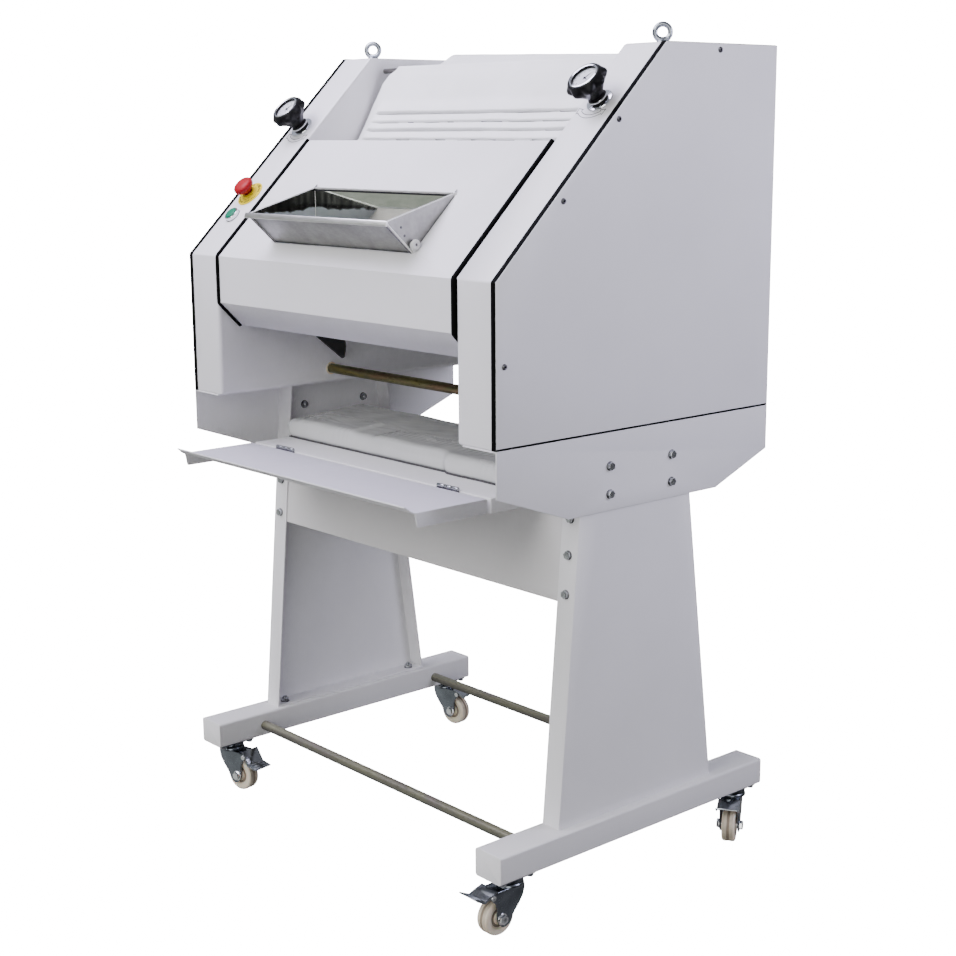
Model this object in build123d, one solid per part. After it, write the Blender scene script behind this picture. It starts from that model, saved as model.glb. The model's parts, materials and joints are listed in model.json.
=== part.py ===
from build123d import *
import math
import os

# ---------------------------------------------------------------------------
# Vertical dough moulder (baguette moulder) on a castored stand.
# Millimetres, +Z up, front of the machine faces -Y, +X is the machine's right
# as seen from the front.  Lengths below are taken with y = 0 on the front face
# of the two side housings and the floor at z = Z_FLOOR; everything is moved by
# (-Y_MID, -Z_FLOOR) at the end so that the origin is on the floor, midway
# between the castor swivels.
# ---------------------------------------------------------------------------
Y_MID = 327.65
Z_FLOOR = 23.0

# side housings
W_HALF = 441.5            # outer face of a side panel
X_IN = 346.5              # inner face of a housing
T_WALL = 5.0              # inner frame wall
T_SHEET = 2.5             # folded sheet
T_PANEL = 2.0             # side panel
T_SEAL = 9.0              # rubber strip between rim and panel
X_RIM = W_HALF - T_PANEL - T_SEAL   # outer end of the folded rim
GAP_LOW = 3.4             # rubber showing under the side panel
Z_BOT = 848.5
Z_KNEE = 1113.0
Z_TOP = 1482.0
Y_TOPF = 377.0            # top edge of the sloping face
Y_BACK = 661.0

# hood
HOOD_TOP = (215.6, 1324.0)
HOOD_VERT = 1026.0
HOOD_END = (46.0, 980.0)
X_HOOD = 337.5
W_HSEAL, H_HSEAL = 8.0, 4.5   # hood rubber: width, height above the hood
HOOD_PIN = (208.0, 1296.0)

# hopper
X_HOP = 200.0
HOP_FB = (34.0, 1144.0)   # front plate, bottom
HOP_LIP = (-22.0, 1195.0)  # front plate, top
HOP_RT = (127.0, 1239.0)  # rear plate, top
HOP_PIV = (32.3, 1158.2)

# mechanism, centres as (y, z)
ROLL_R = 30.0
ROLL_REAR = (134.0, 1100.0)
ROLL_FRONT = (70.0, 1100.0)
DRUM_R = 60.0
BELT_T = 5.7
DRUM_TOP = (478.0, 1392.0)
DRUM_BOT = (215.0, 1035.0)
MOTOR_C = (520.0, 1000.0)
SHAFT_R = 12.5
X_BELT = 325.0
SPR_R = 38.0
SPR_M = 25.3

# bars
BAR_LOW = (259.5, 875.0)
BAR_LOW_R = 9.5
ROD_TOP = (411.0, 1457.0)
ROD_TOP_R = 5.0

# stand
FOOT_X0, FOOT_X1 = 391.0, 455.0
FOOT_Z0, FOOT_Z1 = 122.0, 172.0
FOOT_Y0, FOOT_Y1 = -4.0, 655.0
LEG_X1, LEG_X0 = 438.5, 398.0
LEG_TOP = 845.5
LEG_FB, LEG_FT = 141.0, 198.0      # front edge, bottom and top
LEG_RB, LEG_RT = 528.0, 441.0      # rear edge, bottom and top
T_LEG = 3.0
ROD_FOOT_Y = (102.0, 556.0)
ROD_FOOT_Z = 145.0
ROD_FOOT_R = 9.5

# tray, pad, shelf
TRAY_Z = 748.0
SHELF_X = 345.0
LIP_X = 337.0             # the turned-up front edge stops short of the ends
HINGE_YZ = (69.5, 751.0)
HINGE_X = (-240.0, 240.0)
HINGE_L = 27.0            # half length of a hinge

# castors: swivel centre (x, y), heading of the wheel's trail and angle by
# which the brake pedal is pressed down, in degrees
WHEEL_R, WHEEL_W, TRAIL = 32.0, 25.0, 32.0
BRAKE_PIN = (51.0, 75.0)  # along the trail, above the floor
CASTORS = {
    "front_right": (423.0, 41.3, 269.5, 0.0),
    "front_left": (-423.0, 41.3, 9.8, 38.0),
    "rear_right": (423.0, 614.0, -56.4, 0.0),
    "rear_left": (-423.0, 614.0, 7.1, 0.0),
}

os.makedirs("parts", exist_ok=True)


# ------------------------------------------------------------------ helpers
def box(x0, x1, y0, y1, z0, z1):
    return Pos((x0 + x1) / 2, (y0 + y1) / 2, (z0 + z1) / 2) * Box(x1 - x0, y1 - y0, z1 - z0)


def prism(pts, x0, x1):
    """Polygon of (y, z) points, extruded along X from x0 to x1."""
    face = make_face(Polyline(*[(p[0], p[1]) for p in pts], close=True))
    return extrude(Plane.YZ.offset(x0) * face, amount=x1 - x0)


def sketch_prism(face, x0, x1):
    return extrude(Plane.YZ.offset(x0) * face, amount=x1 - x0)


def cyl_x(c, r, x0, x1):
    return Pos((x0 + x1) / 2, c[0], c[1]) * Rot(0, 90, 0) * Cylinder(r, x1 - x0)


def ring_x(c, r0, r1, x0, x1):
    return cyl_x(c, r1, x0, x1) - cyl_x(c, r0, x0 - 1, x1 + 1)


def disc(pl, r, h0, h1, x=0.0, y=0.0):
    """Cylinder on a plane, between two heights along the plane's normal."""
    return pl * Pos(x, y, (h0 + h1) / 2) * Cylinder(r, h1 - h0)


def hexa(pl, r, h0, h1, x=0.0, y=0.0):
    return pl * Pos(x, y, h0) * extrude(RegularPolygon(r, 6), amount=h1 - h0)


def offset_path(pts, d):
    """Open polyline moved sideways by d (to the right of travel), mitred."""
    out = []
    n = len(pts)
    for i in range(n):
        if i == 0:
            a, b = pts[0], pts[1]
        elif i == n - 1:
            a, b = pts[-2], pts[-1]
        else:
            a = b = None
        if a is not None:
            t = (b[0] - a[0], b[1] - a[1])
            length = math.hypot(*t)
            nx, ny = t[1] / length, -t[0] / length
            out.append((pts[i][0] + nx * d, pts[i][1] + ny * d))
        else:
            t1 = (pts[i][0] - pts[i - 1][0], pts[i][1] - pts[i - 1][1])
            t2 = (pts[i + 1][0] - pts[i][0], pts[i + 1][1] - pts[i][1])
            l1, l2 = math.hypot(*t1), math.hypot(*t2)
            n1 = (t1[1] / l1, -t1[0] / l1)
            n2 = (t2[1] / l2, -t2[0] / l2)
            k = 1.0 + n1[0] * n2[0] + n1[1] * n2[1]
            out.append((pts[i][0] + (n1[0] + n2[0]) / k * d,
                        pts[i][1] + (n1[1] + n2[1]) / k * d))
    return out


def strip(pts, d0, d1):
    return offset_path(pts, d0) + offset_path(pts, d1)[::-1]


def mirror_x(shape):
    return mirror(shape, about=Plane.YZ)


def as_list(shape):
    return list(shape.solids())


nodes = {}


def node(name, *shapes):
    solids = []
    for s in shapes:
        solids += as_list(s)
    nodes[name] = solids


# unit vectors of the sloping face
_sl = math.hypot(Y_TOPF, Z_TOP - Z_KNEE)
SL_U = (0.0, Y_TOPF / _sl, (Z_TOP - Z_KNEE) / _sl)
SL_N = (0.0, -(Z_TOP - Z_KNEE) / _sl, Y_TOPF / _sl)


def slope_y(z):
    return Y_TOPF * (z - Z_KNEE) / (Z_TOP - Z_KNEE)


def slope_plane(x, z):
    return Plane(origin=(x, slope_y(z), z), x_dir=(1, 0, 0), z_dir=SL_N)


PROFILE = [(0, Z_BOT), (0, Z_KNEE), (Y_TOPF, Z_TOP), (Y_BACK, Z_TOP), (Y_BACK, Z_BOT)]
prof_face = make_face(Polyline(*PROFILE, close=True))


def inset(d):
    return offset(prof_face, amount=-d, kind=Kind.INTERSECTION)


# controls: heights on the sloping face
Z_HW_L, Z_HW_R, X_HW, X_HW_R = 1347.0, 1386.5, 394.0, 386.0
Z_ESTOP, Z_START = 1223.0, 1183.0
EYE_Y = 418.0
PANEL_SCREWS = [(509.7, 1471.5), (266.6, 1357.8), (143.2, 1231.5), (16.8, 981.1)]

# --------------------------------------------------------------- housings
BOARD_STUD = (147.0, 983.0)


def housing(right):
    s = sketch_prism(prof_face, X_IN, X_RIM) - sketch_prism(inset(T_SHEET), X_IN + T_WALL, X_RIM + 1)
    # return lip that takes the panel screws
    s += sketch_prism(inset(T_SHEET) - inset(26.0), X_RIM - 2.5, X_RIM)
    cuts = []
    for c in (ROLL_REAR, DRUM_TOP, DRUM_BOT):
        cuts.append(cyl_x(c, 14.5, X_IN - 1, X_IN + T_WALL + 1))
    y, z = ROLL_FRONT
    cuts.append(box(X_IN - 1, X_IN + T_WALL + 1, y - 25, y + 14, z - 14, z + 14))
    y, z = BOARD_STUD
    cuts.append(box(X_IN - 1, X_IN + T_WALL + 1, y - 18, y + 16, z - 8.6, z + 8.6))
    cuts.append(cyl_x(BAR_LOW, BAR_LOW_R, X_IN - 1, X_IN + T_WALL + 1))
    cuts.append(cyl_x(ROD_TOP, ROD_TOP_R, X_IN - 1, X_IN + T_WALL + 1))
    cuts.append(cyl_x(HOOD_PIN, 5.0, X_IN - 1, X_IN + T_WALL + 1))
    for c in PANEL_SCREWS:
        cuts.append(cyl_x(c, 2.5, X_RIM - 5, X_RIM + 5))
    cuts.append(Pos(394, EYE_Y, Z_TOP - 1) * Cylinder(4.0, 8))
    if right:
        cuts.append(cyl_x(MOTOR_C, 20.0, X_IN - 1, X_IN + T_WALL + 1))
        cuts.append(disc(slope_plane(X_HW_R, Z_HW_R), 7.0, -6, 6))
        cuts.append(Pos(400, Y_BACK - 1, 900) * Rot(90, 0, 0) * Cylinder(10.0, 8))
    for c in cuts:
        s -= c
    if right:
        return s
    s = mirror_x(s)
    for x, z, r in ((-X_HW, Z_HW_L, 7.0), (-X_HW, Z_ESTOP, 11.2), (-X_HW, Z_START, 11.2)):
        s -= disc(slope_plane(x, z), r, -6, 6)
    return s


node("housing_right", housing(True))
node("housing_left", housing(False))

panel = sketch_prism(prof_face, W_HALF - T_PANEL, W_HALF) - box(W_HALF - 9, W_HALF + 9, -9, Y_BACK + 9, Z_BOT - 9, Z_BOT + GAP_LOW)
for c in PANEL_SCREWS:
    panel -= cyl_x(c, 2.5, W_HALF - 5, W_HALF + 5)
node("side_panel_right", panel)
node("side_panel_left", mirror_x(panel))
seal = sketch_prism(prof_face - inset(7.0), X_RIM, W_HALF - T_PANEL)
seal += box(W_HALF - T_PANEL - 1, W_HALF - 0.4, 0, Y_BACK, Z_BOT, Z_BOT + GAP_LOW)
node("side_seals", seal, mirror_x(seal))

screws = []
for c in PANEL_SCREWS:
    head = cyl_x(c, 5.0, W_HALF, W_HALF + 3.2)
    head = fillet(head.edges().sort_by(Axis.X)[-1], 2.0)
    s = head + cyl_x(c, 2.5, W_HALF - 16, W_HALF)
    screws += [s, mirror_x(s)]
node("panel_screws", *screws)

# lifting eyes
eyes = []
for sx in (-1, 1):
    e = Pos(0, 0, 17.5) * Rot(90, 0, 0) * Torus(13.5, 4.0)
    e -= Pos(0, 0, 17.5) * Rot(90, 0, 0) * Cylinder(10.0, 12.0)
    e += Pos(0, 0, 3) * Cylinder(10.0, 6.0)
    e += Pos(0, 0, -4) * Cylinder(4.0, 8.0)
    eyes.append(Pos(sx * 394, EYE_Y, Z_TOP) * Rot(0, 0, 45) * e)
node("eyebolts", *eyes)

# rear cover between the housings
X_RC, Z_RC = 345.5, 1467.0
rc = box(-X_RC, X_RC, 651, 653, 872, Z_RC) + box(-X_RC, X_RC, 505, 653, Z_RC - 2, Z_RC)
for sx in (-1, 1):
    rc += box(min(sx * X_RC, sx * (X_RC - 2)), max(sx * X_RC, sx * (X_RC - 2)), 631, 653, 872, Z_RC)
node("rear_cover", rc)

# cable gland at the back of the right housing
gl = Plane(origin=(400, Y_BACK, 900), x_dir=(1, 0, 0), z_dir=(0, 1, 0))
gland = hexa(gl, 14.0, -7.5, -2.5) + disc(gl, 10.0, -2.5, 0) + hexa(gl, 14.0, 0, 6)
gland -= disc(gl, 4.5, -20, 30)
node("cable_gland", gland)

# ---------------------------------------------------------------- bars
tie = [cyl_x((y, ROD_FOOT_Z), ROD_FOOT_R, -440, 440) for y in ROD_FOOT_Y]
tie.append(cyl_x(BAR_LOW, BAR_LOW_R, -360, 360))
node("tie_rods", *tie)
node("apron_rod", cyl_x(ROD_TOP, ROD_TOP_R, -356, 356))

# felt apron: hangs over the top rod, widens below it, lies loosely over the
# upper drum and rests on the rear cover
ap_low = [(389.0, 1427.4), (366.0, 1377.0), (336.0, 1327.0), (316.0, 1300.0), (297.0, 1272.0)]
ap_up = [(403.6, 1459.4), (389.0, 1427.4)]
ap_back = [(612.0, 1469.2), (585.0, 1471.4), (540.0, 1477.4), (495.0, 1479.0), (450.0, 1473.4), (412.0, 1464.2)]
apron = prism(strip(ap_low, -1.5, 1.5), -336, 336) + prism(strip(ap_up, -1.5, 1.5), -302, 302)
apron += prism(strip(ap_back, -1.5, 1.5), -296, 296)
apron += ring_x(ROD_TOP, ROD_TOP_R + 0.3, 8.5, -302, 302)
node("felt_apron", apron)

# ------------------------------------------------------------------ hood
hood_path = [HOOD_TOP, (0.0, Z_KNEE), (0.0, HOOD_VERT), HOOD_END]
skin = prism(strip(hood_path, 0.0, -2.5), -X_HOOD, X_HOOD)
flange = prism(strip(hood_path, -2.0, -28.0), X_HOOD - 2.5, X_HOOD)
flange = flange - cyl_x(HOOD_PIN, 5.05, X_HOOD - 5, X_HOOD + 5)
hood = skin + flange + mirror_x(flange)
top_ret = [HOOD_TOP, (HOOD_TOP[0] + 14 * SL_N[1] * -1, HOOD_TOP[1] + 14 * SL_N[2] * -1)]
hood += prism(strip(top_ret, 0.0, 2.5), -X_HOOD, X_HOOD)
# opening for the hopper, cut square to the sloping face
sp = slope_plane(0, (HOP_FB[1] + HOP_RT[1]) / 2)
L_OP = math.hypot(HOP_RT[0] - HOP_FB[0], HOP_RT[1] - HOP_FB[1]) + 5.0
hood -= sp * Pos(0, 0, 0) * Box(2 * X_HOP + 3.0, L_OP, 30)
# ears for the hopper pivots
for sx in (-1, 1):
    x0, x1 = (X_HOP + 3.5, X_HOP + 5.5) if sx > 0 else (-X_HOP - 5.5, -X_HOP - 3.5)
    u, n = SL_U, SL_N
    p0 = (HOP_PIV[0], HOP_PIV[1])
    a = 9.0
    base = []
    for du, dn in ((-a, -11.5), (a, -11.5), (a, 1.0), (a - 4, 7.0), (-a + 4, 7.0), (-a, 1.0)):
        base.append((p0[0] + du * u[1] + dn * n[1], p0[1] + du * u[2] + dn * n[2]))
    hood += prism(base, x0, x1) - cyl_x(HOP_PIV, 4.0, x0 - 1, x1 + 1)
node("hood", hood)
hs = prism(strip(hood_path, H_HSEAL, -8.0), X_HOOD, X_HOOD + W_HSEAL)
node("hood_seals", hs, mirror_x(hs))
pins = [cyl_x(HOOD_PIN, 5.0, 326, 356), cyl_x(HOOD_PIN, 5.0, -356, -326)]
node("hood_hinge_pins", *pins)

# ---------------------------------------------------------------- hopper
fp = prism(strip([HOP_FB, HOP_LIP], 0.0, 2.0), -X_HOP, X_HOP)
lip = prism([(HOP_LIP[0] + 1.0, HOP_LIP[1] - 0.9), (HOP_LIP[0] - 7.0, HOP_LIP[1] - 1.5), (HOP_LIP[0] - 7.0, HOP_LIP[1] + 1.5),
             (HOP_LIP[0] + 2.0, HOP_LIP[1] + 3.2), (HOP_LIP[0] + 3.0, HOP_LIP[1] + 0.5)], -X_HOP - 5, X_HOP + 5)
rp = box(-X_HOP, X_HOP, HOP_RT[0] - 2, HOP_RT[0], 1138, HOP_RT[1])
side_poly = [HOP_FB, HOP_LIP, (HOP_LIP[0] + 2, HOP_LIP[1] + 3), HOP_RT, (HOP_RT[0], 1150.0), (60.0, 1139.0)]
sd = prism(side_poly, X_HOP - 2, X_HOP) - cyl_x(HOP_PIV, 4.05, X_HOP - 5, X_HOP + 5)
node("hopper", fp + lip + rp + sd + mirror_x(sd))
kn = cyl_x(HOP_PIV, 9.0, X_HOP + 5.5, X_HOP + 11.5)
kn = fillet(kn.edges().sort_by(Axis.X)[-1], 1.5)
kn = kn + cyl_x(HOP_PIV, 4.0, X_HOP - 5, X_HOP + 5.5)
node("hopper_knobs", kn, mirror_x(kn))

# -------------------------------------------------------------- controls
pe = slope_plane(-X_HW, Z_ESTOP)
ps = slope_plane(-X_HW, Z_START)
rosette = disc(pe, 29.0, 0, 1.5) + disc(pe, 14.0, 1.5, 11.0) + disc(pe, 11.1, -18.0, 0.0)
rosette -= disc(pe, 8.1, -30, 30)
bezel = disc(ps, 14.5, 0, 6.0) + disc(ps, 11.1, -18.0, 0.0)
bezel -= disc(ps, 9.1, -30, 30)
node("switch_collars", rosette, bezel)
mush = disc(pe, 20.0, 17.0, 29.0)
mush = fillet(mush.edges().filter_by(GeomType.CIRCLE), 5.0)
node("estop_button", mush + disc(pe, 8.0, -10.0, 18.0))
sbut = disc(ps, 9.0, -10.0, 10.5)
node("start_button", sbut)


def handwheel(pl):
    body = pl * Pos(0, 0, 33.0) * extrude(Circle(31.0), amount=24.0)
    for k in range(8):
        a = math.radians(45 * k)
        body += pl * Pos(29.0 * math.cos(a), 29.0 * math.sin(a), 33.0) * extrude(Circle(7.5), amount=22.0)
    body += disc(pl, 14.0, 12.3, 33.0)
    body += disc(pl, 6.0, -60.0, 12.3)
    return body


ph_l = slope_plane(-X_HW, Z_HW_L)
ph_r = slope_plane(X_HW_R, Z_HW_R)
node("handwheel_left", handwheel(ph_l))
node("handwheel_right", handwheel(ph_r))
cols = []
for pl in (ph_l, ph_r):
    c = disc(pl, 24.0, 0, 4.0) + disc(pl, 17.0, 4.0, 12.0) - disc(pl, 6.05, -5, 30)
    cols.append(c)
node("handwheel_collars", *cols)

# ------------------------------------------------------- sheeting rollers
def star_gear(c, x0, x1, phase):
    pts = []
    for k in range(12):
        a = math.radians(30 * k) + phase
        for r, half in ((25.0, 2.75), (38.5, 1.5)):
            pts.append((a, r, -half))
        for r, half in ((38.5, 1.5), (25.0, 2.75)):
            pts.append((a, r, half))
    poly = []
    for a, r, t in pts:
        poly.append((c[0] + r * math.cos(a) - t * math.sin(a), c[1] + r * math.sin(a) + t * math.cos(a)))
    return prism(poly, x0, x1)


def sprocket(c, r, x0, x1, teeth):
    pts = []
    for k in range(teeth):
        a = 2 * math.pi * k / teeth
        w = math.pi / teeth
        pts += [(a - 0.75 * w, r - 4.0), (a - 0.3 * w, r - 0.4), (a + 0.3 * w, r - 0.4), (a + 0.75 * w, r - 4.0)]
    return prism([(c[0] + q * math.cos(a), c[1] + q * math.sin(a)) for a, q in pts], x0, x1)


X_ROLL = 330.0
rr = cyl_x(ROLL_REAR, ROLL_R, -X_ROLL, X_ROLL) + cyl_x(ROLL_REAR, SHAFT_R, -400, 396)
gear_r = star_gear(ROLL_REAR, -394, -384, math.pi / 12) - cyl_x(ROLL_REAR, SHAFT_R, -410, -370)
spr_r = sprocket(ROLL_REAR, SPR_R, 384, 389, 19) - cyl_x(ROLL_REAR, SHAFT_R, 370, 410)
node("sheeting_roller_rear", rr, gear_r, spr_r)
rf = cyl_x(ROLL_FRONT, ROLL_R, -X_ROLL, X_ROLL) + cyl_x(ROLL_FRONT, SHAFT_R, -400, 374)
gear_f = star_gear(ROLL_FRONT, -394, -384, 0.0) - cyl_x(ROLL_FRONT, SHAFT_R, -410, -370)
node("sheeting_roller_front", rf, gear_f)
car = box(X_IN + T_WALL + 0.3, X_IN + T_WALL + 18, ROLL_FRONT[0] - 20, ROLL_FRONT[0] + 20,
          ROLL_FRONT[1] - 24, ROLL_FRONT[1] + 24)
car -= cyl_x(ROLL_FRONT, SHAFT_R + 0.05, X_IN, X_IN + 40)
node("roller_carriage", car, mirror_x(car))

# ----------------------------------------------------------- drums, belt
dt = cyl_x(DRUM_TOP, DRUM_R, -332, 332) + cyl_x(DRUM_TOP, SHAFT_R, -374, 374)
node("belt_drum_top", dt)
db = cyl_x(DRUM_BOT, DRUM_R, -332, 332) + cyl_x(DRUM_BOT, SHAFT_R, -374, 396)
spr_d = sprocket(DRUM_BOT, SPR_R, 384, 389, 19) - cyl_x(DRUM_BOT, SHAFT_R, 370, 410)
node("belt_drum_bottom", db, spr_d)


def loop(circles):
    edges = []
    for (y, z), r in circles:
        edges += (Pos(y, z) * Circle(r)).edges()
    return make_hull(edges)


belt = loop([(DRUM_TOP, DRUM_R + 0.3 + BELT_T), (DRUM_BOT, DRUM_R + 0.3 + BELT_T)]) \
    - loop([(DRUM_TOP, DRUM_R + 0.3), (DRUM_BOT, DRUM_R + 0.3)])
node("felt_belt", sketch_prism(belt, -X_BELT, X_BELT))

bear = []
for c in (ROLL_REAR, DRUM_TOP, DRUM_BOT):
    b = ring_x(c, SHAFT_R + 0.05, 27.0, X_IN + T_WALL, X_IN + T_WALL + 18)
    bear += [b, mirror_x(b)]
node("shaft_bearings", *bear)

# pressure board under the lower drum
cy, cz = DRUM_BOT
R0, R1 = 82.0, 86.0
arc_ring = make_face(Polyline((cy - 200, cz), (cy, cz), (cy, cz - 200), (cy - 200, cz - 200), close=True)) \
    & (Pos(cy, cz) * Circle(R1) - Pos(cy, cz) * Circle(R0))
board = sketch_prism(arc_ring, -326, 326)
board += prism([(cy - R1, cz - 0.5), (cy - R0, cz - 0.5), (cy - R0, cz), (92.0, 1063.5), (89.5, 1060.5), (cy - R1, cz + 0.5)],
               -326, 326)
lug = prism([(cy - R0 * 0.985, cz - 10), (cy - 60, cz - 58), (BOARD_STUD[0] + 12, BOARD_STUD[1] - 8),
             (BOARD_STUD[0] - 4, BOARD_STUD[1] - 12), (BOARD_STUD[0] - 12, BOARD_STUD[1])], 322, 326)
stud = cyl_x(BOARD_STUD, 8.0, 322, 358)
board += lug + mirror_x(lug) + stud + mirror_x(stud)
# triangular end brackets
brk = prism([(197.0, 952.0), (214.5, 951.0), (272.0, 944.0), (276.0, 920.0), (272.0, 899.0), (266.0, 897.0)], 316, 319)
board += brk + mirror_x(brk)
node("pressure_board", board)

# ------------------------------------------------------ motor and chain
my, mz = MOTOR_C
motor = box(272, X_IN, my - 62, my + 62, mz - 62, mz + 62)
motor += cyl_x(MOTOR_C, 58.0, 92, 272) + cyl_x(MOTOR_C, 60.0, 70, 92)
motor += box(150, 232, my - 34, my + 34, mz + 50, mz + 88)
motor -= cyl_x(MOTOR_C, SHAFT_R + 0.05, 300, X_IN + 5)
node("gearmotor", motor)
ms = cyl_x(MOTOR_C, SHAFT_R, 302, 396)
mspr = sprocket(MOTOR_C, SPR_M, 384, 389, 13) - cyl_x(MOTOR_C, SHAFT_R, 370, 410)
node("motor_sprocket", ms, mspr)
circ = ((ROLL_REAR, SPR_R), (DRUM_BOT, SPR_R), (MOTOR_C, SPR_M))
chain = loop([(c, r + 7.0) for c, r in circ]) - loop([(c, r + 0.3) for c, r in circ])
node("drive_chain", sketch_prism(chain, 382.5, 390.5))

# -------------------------------------------------------------- base, legs
def leg_front(z):
    return LEG_FB + (LEG_FT - LEG_FB) * (z - FOOT_Z1) / (LEG_TOP - FOOT_Z1)


def leg_rear(z):
    return LEG_RB + (LEG_RT - LEG_RB) * (z - FOOT_Z1) / (LEG_TOP - FOOT_Z1)


BASE_BOLTS = [(254.0, 791.5), (405.5, 791.5), (254.0, 743.6), (405.5, 743.6)]
X_FB = 418.0
FLANGE_BOLTS_F = (708.0, 646.0, 579.0)
FLANGE_BOLTS_R = (720.0, 668.0)
FOOT_BOLTS = (168.0, 498.0)

nf = Vector(0, -(LEG_TOP - FOOT_Z1), LEG_FT - LEG_FB).normalized()
nr = Vector(0, (LEG_TOP - FOOT_Z1), LEG_RB - LEG_RT).normalized()


def plane_f(z, x):
    return Plane(origin=(x, leg_front(z), z), x_dir=(1, 0, 0), z_dir=(nf.X, nf.Y, nf.Z))


def plane_r(z, x):
    return Plane(origin=(x, leg_rear(z), z), x_dir=(1, 0, 0), z_dir=(nr.X, nr.Y, nr.Z))


zt, zb = LEG_TOP, FOOT_Z1
web = prism([(LEG_FB, zb), (LEG_FT, zt), (LEG_RT, zt), (LEG_RB, zb)], LEG_X1 - T_LEG, LEG_X1)
ff = prism([(LEG_FB, zb), (LEG_FT, zt), (LEG_FT + T_LEG, zt), (LEG_FB + T_LEG, zb)], LEG_X0, LEG_X1)
fr = prism([(LEG_RB, zb), (LEG_RT, zt), (LEG_RT - T_LEG, zt), (LEG_RB - T_LEG, zb)], LEG_X0, LEG_X1)
fl_b = box(LEG_X0, LEG_X1, LEG_FB + 1, LEG_RB - 1, zb, zb + 4)
fl_t = box(LEG_X0, LEG_X1, LEG_FT + 1, LEG_RT - 1, zt - 3, zt)
leg = web + ff + fr + fl_b + fl_t
for y, z in BASE_BOLTS:
    leg -= cyl_x((y, z), 4.0, LEG_X1 - 10, LEG_X1 + 10)
for z in FLANGE_BOLTS_F:
    leg -= disc(plane_f(z, X_FB), 4.0, -8, 4)
for z in FLANGE_BOLTS_R:
    leg -= disc(plane_r(z, X_FB), 4.0, -8, 4)
for y in FOOT_BOLTS:
    leg -= Pos(412, y, zb) * Cylinder(5.0, 20)
node("leg_right", leg)
node("leg_left", mirror_x(leg))

bp = prism([(0, Z_BOT), (0, 771), (158, 715), (524, 715), (Y_BACK, 769), (Y_BACK, Z_BOT)], LEG_X1, W_HALF)
bp += box(360, W_HALF, 0, Y_BACK, Z_BOT - 3, Z_BOT)
for y, z in BASE_BOLTS:
    bp -= cyl_x((y, z), 4.0, LEG_X1 - 10, W_HALF + 10)
node("base_plate_right", bp)
node("base_plate_left", mirror_x(bp))

# crossbeams behind the leg flanges
X_BM = LEG_X1 - T_LEG
z0, z1 = 562.0, 745.0


def off_f(z, d):
    return leg_front(z) + d


fbm = prism([(off_f(z0, 3), z0), (off_f(z0, 6), z0), (off_f(z1, 6), z1), (off_f(z1, 3), z1)], -X_BM, X_BM)
fbm += prism([(off_f(z0, 3), z0), (off_f(z0, 46), z0), (off_f(z0, 46), z0 + 3), (off_f(z0 + 3, 3), z0 + 3)], -X_BM, X_BM)
fbm += prism([(off_f(z1 - 3, 3), z1 - 3), (off_f(z1, 46), z1 - 3), (off_f(z1, 46), z1), (off_f(z1, 3), z1)], -X_BM, X_BM)
for sx in (-1, 1):
    for z in FLANGE_BOLTS_F:
        fbm -= disc(plane_f(z, sx * X_FB), 4.0, -14, 4)
node("front_beam", fbm)
z0r = 645.0
rbm = prism([(leg_rear(z0r) - 3, z0r), (leg_rear(z0r) - 6, z0r), (leg_rear(z1) - 6, z1), (leg_rear(z1) - 3, z1)], -X_BM, X_BM)
rbm += prism([(leg_rear(z0r) - 3, z0r), (leg_rear(z0r) - 46, z0r), (leg_rear(z0r) - 46, z0r + 3), (leg_rear(z0r + 3) - 3, z0r + 3)], -X_BM, X_BM)
rbm += prism([(leg_rear(z1 - 3) - 3, z1 - 3), (leg_rear(z1) - 34, z1 - 3), (leg_rear(z1) - 34, z1), (leg_rear(z1) - 3, z1)], -X_BM, X_BM)
for sx in (-1, 1):
    for z in FLANGE_BOLTS_R:
        rbm -= disc(plane_r(z, sx * X_FB), 4.0, -14, 4)
node("rear_beam", rbm)

# hex bolts with nuts
bolts = []
for y, z in BASE_BOLTS:
    pl = Plane(origin=(W_HALF, y, z), x_dir=(0, 1, 0), z_dir=(1, 0, 0))
    b = disc(pl, 8.2, 0, 1.4) + hexa(pl, 7.4, 1.4, 6.6) + disc(pl, 4.0, -15.0, 0) + hexa(pl, 7.4, -12.5, -6.0)
    bolts += [b, mirror_x(b)]
for sx in (-1, 1):
    for z in FLANGE_BOLTS_F:
        pl = plane_f(z, sx * X_FB)
        bolts.append(disc(pl, 8.2, 0, 1.4) + hexa(pl, 7.4, 1.4, 6.6) + disc(pl, 4.0, -15.0, 0) + hexa(pl, 7.4, -12.5, -6.1))
    for z in FLANGE_BOLTS_R:
        pl = plane_r(z, sx * X_FB)
        bolts.append(disc(pl, 8.2, 0, 1.4) + hexa(pl, 7.4, 1.4, 6.6) + disc(pl, 4.0, -15.0, 0) + hexa(pl, 7.4, -12.5, -6.2))
    for y in FOOT_BOLTS:
        pl = Plane(origin=(sx * 412, y, FOOT_Z1 + 4), x_dir=(1, 0, 0), z_dir=(0, 0, 1))
        bolts.append(disc(pl, 10.0, 0, 1.6) + hexa(pl, 9.2, 1.6, 8.0) + disc(pl, 5.0, -22.0, 0))
node("stand_bolts", *bolts)

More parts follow.
